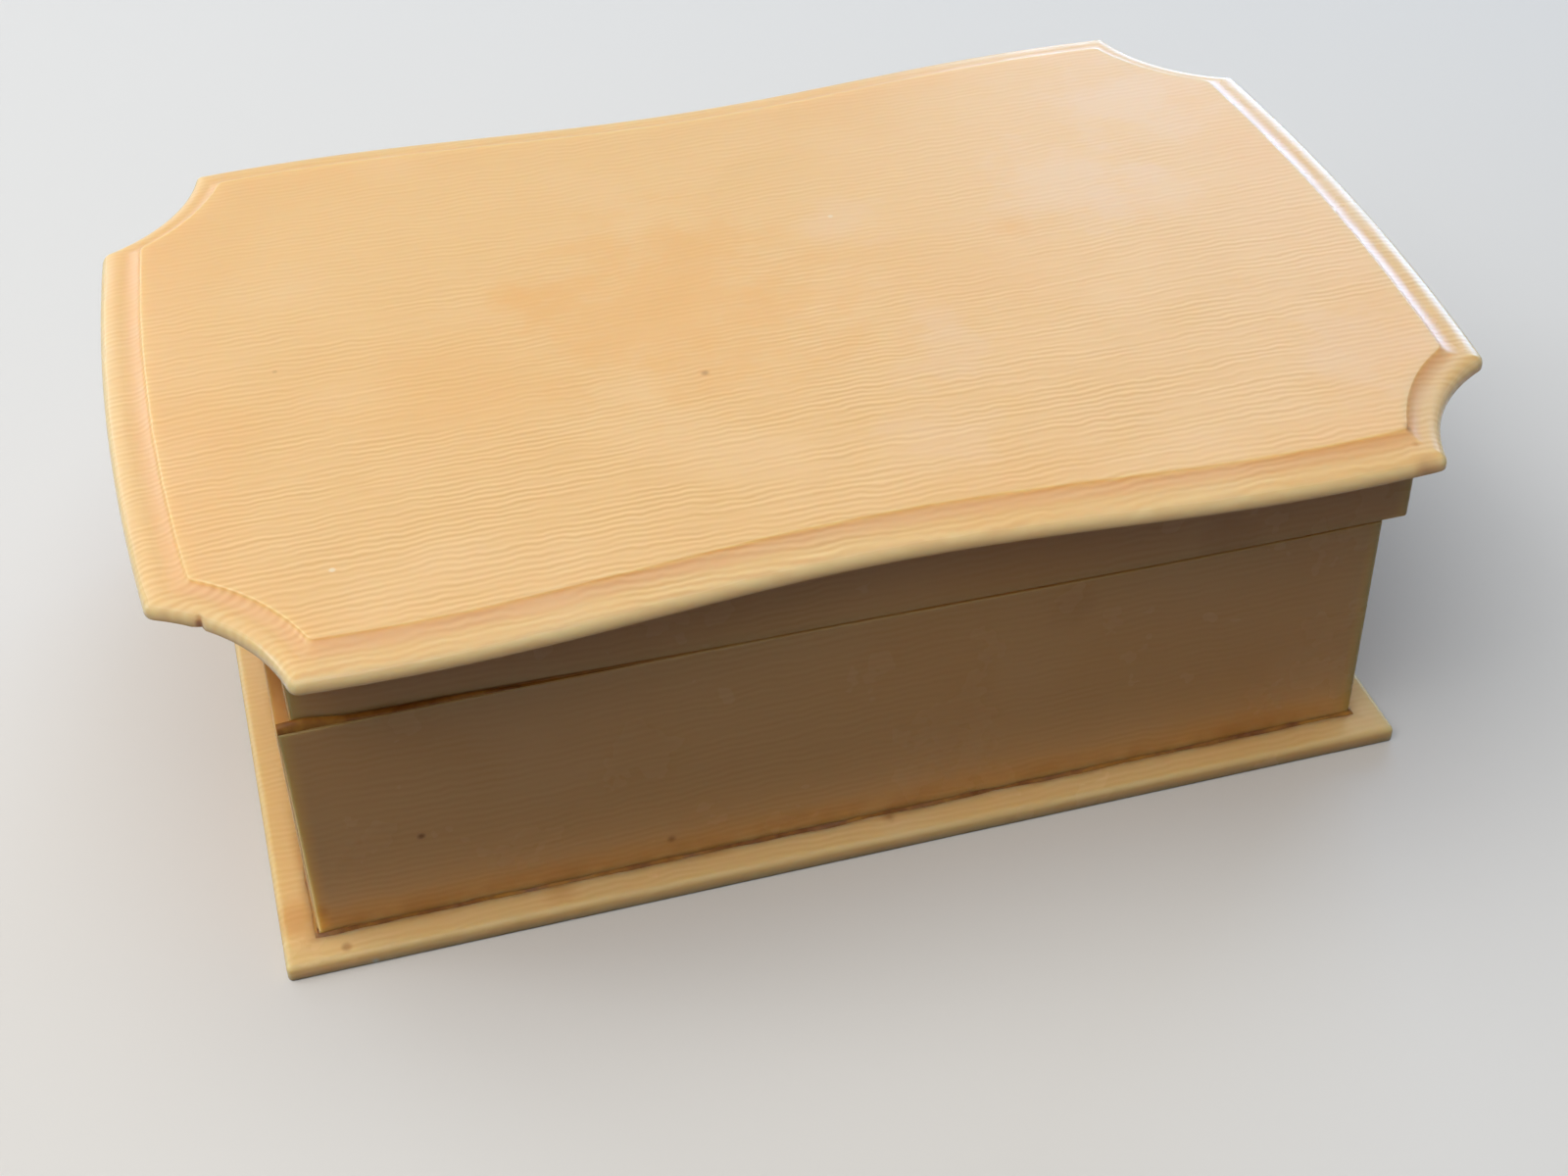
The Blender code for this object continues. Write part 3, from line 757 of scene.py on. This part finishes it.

# Stains as centre and radius in millimetres, colour and strength. On the lid the pale haze patches are
# partly haze on the sheet and partly painted sheen
LID_STAINS_AND_SHEEN = (
    ((-9.0, 1.0, LID_TOP), 27.0, CLOUD_WARM, 0.6),
    ((-27.0, 7.0, LID_TOP), 5.0, CLOUD_WARM, 0.6),
    ((37.0, 6.0, LID_TOP), 3.5, CLOUD_WARM, 0.7),
    ((47.0, 14.0, LID_TOP), 14.0, HAZE_AND_SHEEN, 0.4),
    ((57.0, 9.0, LID_TOP), 10.0, HAZE_AND_SHEEN, 0.3),
    ((62.0, 32.0, LID_TOP), 14.0, HAZE_AND_SHEEN, 0.4),
    ((16.0, 14.0, LID_TOP), 8.0, HAZE_AND_SHEEN, 0.3),
    ((20.0, -10.0, LID_TOP), 6.0, HAZE_AND_SHEEN, 0.3),
    ((19.0, -18.5, LID_TOP), 8.0, HAZE_AND_SHEEN, 0.3),
    ((67.0, -32.0, LID_TOP), 13.0, HAZE_AND_SHEEN, 0.3),
    ((13.0, -34.0, LID_TOP), 9.0, HAZE_AND_SHEEN, 0.3),
    ((-9.0, -14.0, LID_TOP), 0.7, STAIN_BROWN, 0.5),
    ((65.3, -48.2, LID_TOP), 1.1, STAIN_BROWN, 0.7),
    ((65.1, -50.3, LIP_TOP), 0.9, STAIN_AMBER, 0.6),
    ((64.9, -53.7, LIP_FOOT), 2.2, STAIN_BROWN, 0.4),
    ((-71.05, -39.8, LIP_TOP - 0.4), 0.8, STAIN_BROWN, 1.0),
    ((-71.1, -39.9, LIP_FOOT), 0.8, STAIN_BROWN, 1.0),
    ((-71.1, -39.9, LIP_FOOT - 0.6), 0.8, STAIN_BROWN, 1.0),
    ((66.8, -45.2, LID_TOP), 0.5, SPECK_WHITE, 0.8),
)
LONG_BOARD_STAINS = (
    ((-51.9, WALL_FRONT, 14.7), 0.6, STAIN_BROWN, 0.8),
    ((-23.0, WALL_FRONT, 5.6), 0.9, STAIN_BROWN, 0.6),
    ((27.0, WALL_FRONT, 29.3), 5.0, STAIN_AMBER, 0.18),
    ((-64.9, WALL_FRONT, 6.0), 1.6, STAIN_BROWN, 0.5),
)
RIM_STAINS = (
    ((45.0, WALL_FRONT, 35.5), 6.0, STAIN_AMBER, 0.2),
)
BASE_STAINS = (
    ((-67.2, -43.0, BASE_TOP), 5.0, STAIN_AMBER, 0.4),
    ((4.0, -46.9, BASE_TOP), 1.6, STAIN_BROWN, 0.5),
    ((-62.5, -48.8, BASE_TOP), 0.8, STAIN_BROWN, 0.45),
    ((-59.6, -50.3, 0.4), 0.7, SPECK_WHITE, 0.9),
    ((-37.0, -47.3, BASE_TOP), 2.6, STAIN_AMBER, 0.3),
)
STAIN_RAGGED = 0.9
STAIN_CORE_SHARE = 0.1
RAGGED_NOISE = (0.16, 3.0, 0.55)

# What each kind of board's red, green and blue are multiplied by. On the walls and rims this is painted
# shade, darker and browner as under the lid; on the base and low on the walls it is painted light
LID_TONE = (1.0, 1.0, 1.0)
WALL_SHADE_TONE = (0.75, 0.665, 0.575, 1.0)
# Painted light thrown up from the base plate, lighter and warmer low on the walls
WALL_FOOT_LIGHT_TONE = (0.89, 0.82, 0.75, 1.0)
RIM_SHADE_TONE = (0.78, 0.66, 0.53)
# Painted light: the base plate paler and less yellow than the lid
BASE_LIGHT_TONE = (1.07, 1.09, 1.19)
BOARD_SHEEN = 0.25
# Height in millimetres up to which the walls' painted light from the base reaches
FOOT_LIGHT_TOP = 16.0

# Paler gold where light comes through the ends of a board, in millimetres
END_GOLD = (0.88, 0.42, 0.11, 1.0)
END_GLOW_LENGTH = 2.4
END_GLOW = 0.8

# Amber stain along the foot of the walls, in millimetres, and its patches
FOOT_STAIN_HEIGHT = 4.5
FOOT_STAIN_WIDTH = 1.9
FOOT_STAIN_PATCHES = (0.3, 0.7, 0.12, 0.6)

# Gloss, relief and depth of the sheet
DULL_NOISE = (0.12, 3.0, 0.6)
LID_DULL_SPAN = (0.3, 0.75, 0.30, 0.44)
BOARD_DULL_SPAN = (0.3, 0.75, 0.19, 0.30)
RUBBED_SPAN = (0.0, 0.9, 1.0, 0.35)
SCUFF_NOISE = ((1.5, 9.0, 9.0), 2.0)
LINE_RELIEF = 0.25
DULL_RELIEF = 3.0
SCUFF_RELIEF = 0.12
RELIEF_STRENGTH = 0.2
RELIEF_DEPTH = 0.04 * MM
SHEET_SCATTER = (1.0, 0.75, 0.5)
SHEET_SCATTER_DEPTH = 4.0 * MM
SHEET_IOR = 1.5


def grain_lines(shade, along, across, through):
    """Wavy lines of imitation ivory, from about -0.5 to 0.5."""
    sheet = shade.add("ShaderNodeCombineXYZ", {0: along, 1: across, 2: through}).outputs[0]
    moved = across
    for bend, reach in GRAIN_BENDS:
        moved = shade.math("MULTIPLY_ADD", shade.noise(sheet, *bend), reach, moved)
    wave = shade.math("SINE", shade.math("MULTIPLY", moved, math.tau / GRAIN_SPACING))
    broad = shade.math("SINE", shade.math("MULTIPLY", moved, math.pi / GRAIN_SPACING))
    strength = shade.span(shade.noise(sheet, *STRENGTH_NOISE), *STRENGTH_SPAN)
    lines = shade.math("MULTIPLY", wave, strength)
    lines = shade.math("MULTIPLY_ADD", broad, BROAD_SHARE, lines)
    fibre = shade.math("MULTIPLY_ADD", shade.noise(sheet, *FIBRE_NOISE), FIBRE_SHARE, -FIBRE_SHARE / 2)
    return shade.math("ADD", lines, fibre)


def foot_stain(shade, parts, ragged, foot_box):
    """How much the foot of the walls, or the base plate round it, is stained."""
    if foot_box:
        beyond = [shade.math("SUBTRACT", shade.math("ABSOLUTE", parts[axis]), foot_box[axis])
                  for axis in (0, 1)]
        apart = shade.math("MAXIMUM", beyond[0], beyond[1])
        outside = shade.span(apart, 0.0, FOOT_STAIN_WIDTH, 1.0, 0.0)
        inside = shade.span(apart, -BOARD_THICKNESS - FOOT_STAIN_WIDTH, -BOARD_THICKNESS)
        foot = shade.math("MULTIPLY", outside, inside)
    else:
        apart = shade.math("SUBTRACT", parts[2], BASE_TOP)
        foot = shade.span(apart, 0.0, FOOT_STAIN_HEIGHT, 1.0, 0.0)
    return shade.math("MULTIPLY", foot, shade.span(ragged, *FOOT_STAIN_PATCHES))


def speckled(shade, place, colour, moulded):
    """The colour with a few brown specks, and on the lid a few white ones."""
    cells = shade.add("ShaderNodeTexVoronoi", {"Vector": place, "Scale": SPECK_PACE, "Randomness": 1.0})
    draw = shade.add("ShaderNodeSeparateColor", {0: cells.outputs["Color"]}).outputs[0]
    near = shade.span(cells.outputs["Distance"], SPECK_CORE, SPECK_EDGE, 1.0, 0.0)
    brown = shade.math("MULTIPLY", near, shade.math("GREATER_THAN", draw, SPECK_BROWN_FROM))
    colour = shade.mix(shade.math("MULTIPLY", brown, SPECK_BROWN_STRENGTH), colour, STAIN_BROWN)
    if moulded:
        white = shade.math("MULTIPLY", near, shade.math("LESS_THAN", draw, SPECK_WHITE_TO))
        colour = shade.mix(shade.math("MULTIPLY", white, SPECK_WHITE_STRENGTH), colour, SPECK_WHITE)
    return colour


def marked(shade, place, ragged, colour, marks):
    """The colour with ragged stains, and on the lid patches of painted sheen, each of which fades out at
    its radius.
    """
    for centre, radius, mark_colour, amount in marks:
        apart = shade.add("ShaderNodeVectorMath", {0: place, 1: centre}, operation="DISTANCE")
        reach = radius * STAIN_RAGGED
        shift = shade.math("MULTIPLY_ADD", ragged, reach * 2, -reach)
        edge = shade.math("ADD", apart.outputs["Value"], shift)
        mask = shade.span(edge, radius * STAIN_CORE_SHARE, radius, amount, 0.0)
        colour = shade.mix(mask, colour, mark_colour)
    return colour


def finish_sheet(shade, place, lines, moulded):
    """The sheet's gloss, fine relief and depth. The lid is duller, but for its rubbed edges."""
    dull = shade.noise(place, *DULL_NOISE)
    relief = shade.math("MULTIPLY_ADD", lines, LINE_RELIEF, shade.math("MULTIPLY", dull, DULL_RELIEF))
    relief = shade.math("MULTIPLY_ADD", shade.noise(place, *SCUFF_NOISE), SCUFF_RELIEF, relief)
    shade.bump(relief, RELIEF_STRENGTH, RELIEF_DEPTH)
    dullness = shade.span(dull, *(LID_DULL_SPAN if moulded else BOARD_DULL_SPAN))
    if moulded:
        rubbed = shade.span(shade.attribute("polish"), *RUBBED_SPAN)
        dullness = shade.math("MULTIPLY", dullness, rubbed)
    shade.put(shade.shader.inputs["Roughness"], dullness)
    shade.scatter(1.0, SHEET_SCATTER, SHEET_SCATTER_DEPTH)
    shade.shader.inputs["IOR"].default_value = SHEET_IOR
    if not moulded:
        shade.shader.inputs["Specular IOR Level"].default_value = BOARD_SHEEN


def ivory(name, axes, contrast, painted_tone, marks=(), moulded=False, foot_box=None, foot_light=None, ends=None):
    """Celluloid sheet with imitation ivory grain.

    Axes gives which coordinate runs along the grain, across it and through
    the sheet. The painted tone is what the sheet's colour is multiplied by:
    painted shade on the walls and rims, painted light on the base. The foot's
    painted light tone takes its place low down. Stain marks are (centre, radius,
    colour, strength) in millimetres, and on the lid some are patches of painted
    sheen. The foot box is the walls' half length and half depth, round
    which the base plate is stained. Without one, the stain is at the foot of
    the boards. Ends are the places along the grain where a board gets a painted
    glow of light coming through its ends.
    A moulded sheet is the lid, which has no foot, and whose grain is fainter at the rear.
    """
    shade = Shade(name)
    place = shade.millimetres()
    parts = shade.add("ShaderNodeSeparateXYZ", {0: place}).outputs
    along, across, through = (parts[axis] for axis in axes)
    lines = grain_lines(shade, along, across, through)
    if moulded:
        contrast = shade.span(across, GRAIN_CLEAR_TO, GRAIN_FAINT_FROM,
                              contrast, contrast * GRAIN_FAINT_SHARE)
    grain = shade.math("MULTIPLY_ADD", lines, contrast, GRAIN_MIDDLE)
    colour = shade.mix(grain, GRAIN_DARK, GRAIN_LIGHT)
    for noise_values, span_values, cloud in CLOUDS:
        share = shade.span(shade.noise(place, *noise_values), *span_values)
        colour = shade.mix(share, colour, cloud)
    ragged = shade.noise(place, *RAGGED_NOISE)
    if moulded:
        for attribute, amount, tint in MOULDING_TINTS:
            share = shade.math("MULTIPLY", shade.attribute(attribute), amount)
            colour = shade.mix(share, colour, tint)
    else:
        colour = shade.mix(foot_stain(shade, parts, ragged, foot_box), colour, STAIN_AMBER)
    colour = speckled(shade, place, colour, moulded)
    colour = marked(shade, place, ragged, colour, marks)
    # Painted shade on the walls and rims, painted light on the base and, thrown up from the base, low on
    # the walls
    if foot_light:
        painted_tone = shade.mix(shade.span(parts[2], BASE_TOP, FOOT_LIGHT_TOP), foot_light, painted_tone)
    colour = shade.stretch(colour, painted_tone)
    if ends:
        past = shade.math("MAXIMUM", shade.math("SUBTRACT", ends[0], along),
                          shade.math("SUBTRACT", along, ends[1]))
        colour = shade.mix(shade.span(past, -END_GLOW_LENGTH, 0.0, 0.0, END_GLOW), colour, END_GOLD)
    shade.put(shade.shader.inputs["Base Color"], colour)
    finish_sheet(shade, place, lines, moulded)
    return shade.material


# Cement: patches of two ambers, their gloss, and lumps
CEMENT_PATCH_NOISE = (0.25, 3.0, 0.6)
CEMENT_PATCH_SPAN = (0.35, 0.7)
CEMENT_GLOSS_SPAN = (0.3, 0.7, 0.25, 0.5)
CEMENT_LUMP_NOISE = (1.4, 2.0)
CEMENT_LUMP_STRENGTH = 0.5
CEMENT_LUMP_DEPTH = 0.1 * MM
CEMENT_SCATTER_SHARE = 0.3
CEMENT_SCATTER = (1.0, 0.4, 0.1)
CEMENT_SCATTER_DEPTH = 0.8 * MM


def cement():
    """Old cement that has squeezed out and turned amber."""
    shade = Shade("amber_cement")
    place = shade.millimetres()
    patches = shade.noise(place, *CEMENT_PATCH_NOISE)
    colour = shade.mix(shade.span(patches, *CEMENT_PATCH_SPAN), CEMENT_AMBER, CEMENT_PALE)
    shade.put(shade.shader.inputs["Base Color"], colour)
    shade.put(shade.shader.inputs["Roughness"], shade.span(patches, *CEMENT_GLOSS_SPAN))
    shade.bump(shade.noise(place, *CEMENT_LUMP_NOISE), CEMENT_LUMP_STRENGTH, CEMENT_LUMP_DEPTH)
    shade.shader.inputs["Specular IOR Level"].default_value = BOARD_SHEEN
    shade.scatter(CEMENT_SCATTER_SHARE, CEMENT_SCATTER, CEMENT_SCATTER_DEPTH)
    return shade.material


# Brass: rubbed and tarnished colours, dark flecks, gloss, and scratches along the pins
BRASS_RUBBED = (0.62, 0.42, 0.16, 1.0)
BRASS_TARNISHED = (0.30, 0.19, 0.075, 1.0)
BRASS_FLECK = (0.17, 0.10, 0.045, 1.0)
TARNISH_NOISE = (0.35, 4.0, 0.65)
TARNISH_SPAN = (0.38, 0.66)
FLECK_NOISE = (2.2, 3.0, 0.6)
FLECK_SPAN = (0.55, 0.8, 0.0, 0.5)
BRASS_GLOSS_SPAN = (0.0, 1.0, 0.28, 0.52)
SCRATCH_NOISE = ((6.0, 6.0, 1.0), 2.0)
SCRATCH_STRENGTH = 0.3
SCRATCH_DEPTH = 0.03 * MM


def aged_brass():
    """Brass that has dulled and browned, brighter where it is rubbed."""
    shade = Shade("aged_brass")
    place = shade.millimetres()
    tarnish = shade.span(shade.noise(place, *TARNISH_NOISE), *TARNISH_SPAN)
    flecks = shade.span(shade.noise(place, *FLECK_NOISE), *FLECK_SPAN)
    colour = shade.mix(tarnish, BRASS_RUBBED, BRASS_TARNISHED)
    shade.put(shade.shader.inputs["Base Color"], shade.mix(flecks, colour, BRASS_FLECK))
    shade.put(shade.shader.inputs["Roughness"], shade.span(tarnish, *BRASS_GLOSS_SPAN))
    shade.bump(shade.noise(place, *SCRATCH_NOISE), SCRATCH_STRENGTH, SCRATCH_DEPTH)
    shade.shader.inputs["Metallic"].default_value = 1.0
    return shade.material


# Which coordinate runs along the grain, across it and through the sheet
LAID_FLAT = (0, 1, 2)
STOOD_ALONG_X = (0, 2, 1)
STOOD_ALONG_Y = (1, 2, 0)

lid_ivory = ivory("ivory_lid", LAID_FLAT, LID_GRAIN, LID_TONE, LID_STAINS_AND_SHEEN, moulded=True)
base_ivory = ivory("ivory_base", LAID_FLAT, BASE_GRAIN, BASE_LIGHT_TONE, BASE_STAINS, foot_box=WALL_HALF)
long_walls = ivory("ivory_long_walls", STOOD_ALONG_X, BOARD_GRAIN, WALL_SHADE_TONE, LONG_BOARD_STAINS,
                   foot_light=WALL_FOOT_LIGHT_TONE, ends=WALL_ENDS)
end_walls = ivory("ivory_end_walls", STOOD_ALONG_Y, BOARD_GRAIN, WALL_SHADE_TONE, foot_light=WALL_FOOT_LIGHT_TONE)
long_rims = ivory("ivory_long_rims", STOOD_ALONG_X, BOARD_GRAIN, RIM_SHADE_TONE, RIM_STAINS, ends=RIM_ENDS)
end_rims = ivory("ivory_end_rims", STOOD_ALONG_Y, BOARD_GRAIN, RIM_SHADE_TONE)
amber = cement()
brass = aged_brass()

add_lid_plate(lid_ivory)
wall_box = add_walls((long_walls, end_walls))
rim_box, set_back = add_rims((long_rims, end_rims))
add_seam_residue(wall_box, set_back, rim_box[0].y, amber)
add_base(base_ivory)

# Cement outside and inside the foot of the walls, and outside and inside the rims
plate_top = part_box("base_plate")[1].z
wall_low, wall_high = wall_box[0].xy, wall_box[1].xy
wall_inward = Vector((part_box("left_wall")[1].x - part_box("left_wall")[0].x,) * 2)
add_bead("outer_foot_cement", wall_low, wall_high, 1, plate_top, 1, "box", amber)
add_bead("inner_foot_cement", wall_low + wall_inward, wall_high - wall_inward, -1, plate_top, 1,
         "box", amber)
lid_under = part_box("lid_plate")[0].z
rim_low, rim_high = rim_box[0].xy, rim_box[1].xy
rim_inward = Vector((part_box("lid_left_rim")[1].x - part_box("lid_left_rim")[0].x,) * 2)
add_bead("outer_lid_cement", rim_low, rim_high, 1, lid_under, -1, "lid", amber, set_back)
add_bead("inner_lid_cement", rim_low + rim_inward, rim_high - rim_inward, -1, lid_under, -1,
         "lid", amber, set_back)

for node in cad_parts.values():
    if "hinge" in node.name:
        node.material_slots[0].material = brass

# Camera, fitted to the photograph's outline of the box
CAMERA_PLACE = Vector((-60.40, -242.68, 211.56)) * MM
CAMERA_AZIMUTH = math.radians(14.81)
CAMERA_ELEVATION = math.radians(39.99)
CAMERA_ROLL = math.radians(-1.40)
CAMERA_LENS = 55.07
CAMERA_NEAR = 1.0 * MM


def add_camera():
    """The camera at the photograph's place, looking down from the front left."""
    forward = Vector((math.sin(CAMERA_AZIMUTH) * math.cos(CAMERA_ELEVATION),
                      math.cos(CAMERA_AZIMUTH) * math.cos(CAMERA_ELEVATION),
                      -math.sin(CAMERA_ELEVATION)))
    level = Vector((math.cos(CAMERA_AZIMUTH), -math.sin(CAMERA_AZIMUTH), 0.0))
    upward = level.cross(forward)
    right = level * math.cos(CAMERA_ROLL) + upward * math.sin(CAMERA_ROLL)
    data = bpy.data.cameras.new("camera")
    data.lens = CAMERA_LENS
    data.clip_start = CAMERA_NEAR
    camera = bpy.data.objects.new("camera", data)
    camera.rotation_euler = Matrix((right, right.cross(forward), -forward)).transposed().to_euler()
    camera.location = CAMERA_PLACE
    bpy.context.scene.collection.objects.link(camera)
    bpy.context.scene.camera = camera


def add_lamp(name, place, target, size, power, colour):
    """A soft lamp of a width and a height that faces a point."""
    data = bpy.data.lights.new(name, "AREA")
    data.shape = "RECTANGLE"
    data.size, data.size_y = size
    data.energy = power
    data.color = colour
    lamp = bpy.data.objects.new(name, data)
    lamp.location = place
    lamp.rotation_euler = (Vector(place) - Vector(target)).to_track_quat("Z", "Y").to_euler()
    bpy.context.scene.collection.objects.link(lamp)


def seen_rays(tree):
    """1 for rays that show the background: from the camera, by reflection or through glass."""
    rays = tree.nodes.new("ShaderNodeLightPath")
    first = tree.nodes.new("ShaderNodeMath")
    first.operation = "MAXIMUM"
    second = tree.nodes.new("ShaderNodeMath")
    second.operation = "MAXIMUM"
    tree.links.new(rays.outputs["Is Camera Ray"], first.inputs[0])
    tree.links.new(rays.outputs["Is Glossy Ray"], first.inputs[1])
    tree.links.new(first.outputs[0], second.inputs[0])
    tree.links.new(rays.outputs["Is Transmission Ray"], second.inputs[1])
    return second.outputs[0]


FLOOR_SEEN = (0.74, 0.735, 0.72, 1.0)
FLOOR_BOUNCE = (0.10, 0.097, 0.094, 1.0)
FLOOR_SIZE = 6.0
FLOOR_ROUGHNESS = 0.9
FLOOR_SHEEN = 0.1
WORLD_SEEN = (0.80, 0.80, 0.80, 1.0)
WORLD_LIGHT = (0.11, 0.11, 0.113, 1.0)


def add_floor():
    """A plain pale floor, which throws back less light than it shows."""
    half = FLOOR_SIZE / 2
    mesh = bpy.data.meshes.new("floor")
    around = ((-half, -half), (half, -half), (half, half), (-half, half))
    corners = [(x, y, -FLOOR_DROP) for x, y in around]
    mesh.from_pydata(corners, [], [(0, 1, 2, 3)])
    shade = Shade("floor")
    colour = shade.mix(seen_rays(shade.tree), FLOOR_BOUNCE, FLOOR_SEEN)
    shade.put(shade.shader.inputs["Base Color"], colour)
    shade.shader.inputs["Roughness"].default_value = FLOOR_ROUGHNESS
    shade.shader.inputs["Specular IOR Level"].default_value = FLOOR_SHEEN
    mesh.materials.append(shade.material)
    floor = bpy.data.objects.new("floor", mesh)
    bpy.context.scene.collection.objects.link(floor)


def light_world():
    """Even light from all round, behind a pale background."""
    world = bpy.data.worlds.new("studio")
    world.use_nodes = True
    tree = world.node_tree
    background = tree.nodes["Background"]
    mix = tree.nodes.new("ShaderNodeMix")
    mix.data_type = "RGBA"
    mix.inputs[6].default_value = WORLD_LIGHT
    mix.inputs[7].default_value = WORLD_SEEN
    tree.links.new(seen_rays(tree), mix.inputs[0])
    tree.links.new(mix.outputs[2], background.inputs["Color"])
    bpy.context.scene.world = world


# Lamps: name, place, where each faces, width and height in metres, watts and colour
LAMPS = (
    ("key", (-0.15, 0.08, 0.93), (0, 0, 0.03), (1.3, 1.3), 7.1, (1.0, 0.98, 0.94)),
    ("left", (-0.70, 0.05, 0.72), (0, 0, 0.03), (0.9, 0.9), 2.9, (1.0, 0.98, 0.95)),
    ("low_left", (-0.88, 0.35, 0.31), (0, 0, 0.03), (0.22, 0.35), 0.8, (0.97, 0.97, 1.0)),
    ("front_left", (-0.35, -0.48, 0.82), (0, 0, 0.03), (0.6, 0.6), 1.75, (1.0, 0.98, 0.95)),
    ("rear_right", (0.56, 0.72, 0.22), (0.05, 0, 0.04), (0.58, 0.42), 4.2, (0.42, 0.66, 1.0)),
    ("rear_left", (-0.42, 0.80, 0.31), (0, 0, 0.04), (0.5, 0.4), 1.2, (0.9, 0.94, 1.0)),
)

add_camera()
add_floor()
light_world()
for lamp in LAMPS:
    add_lamp(*lamp)
bpy.context.scene.view_settings.view_transform = "Standard"
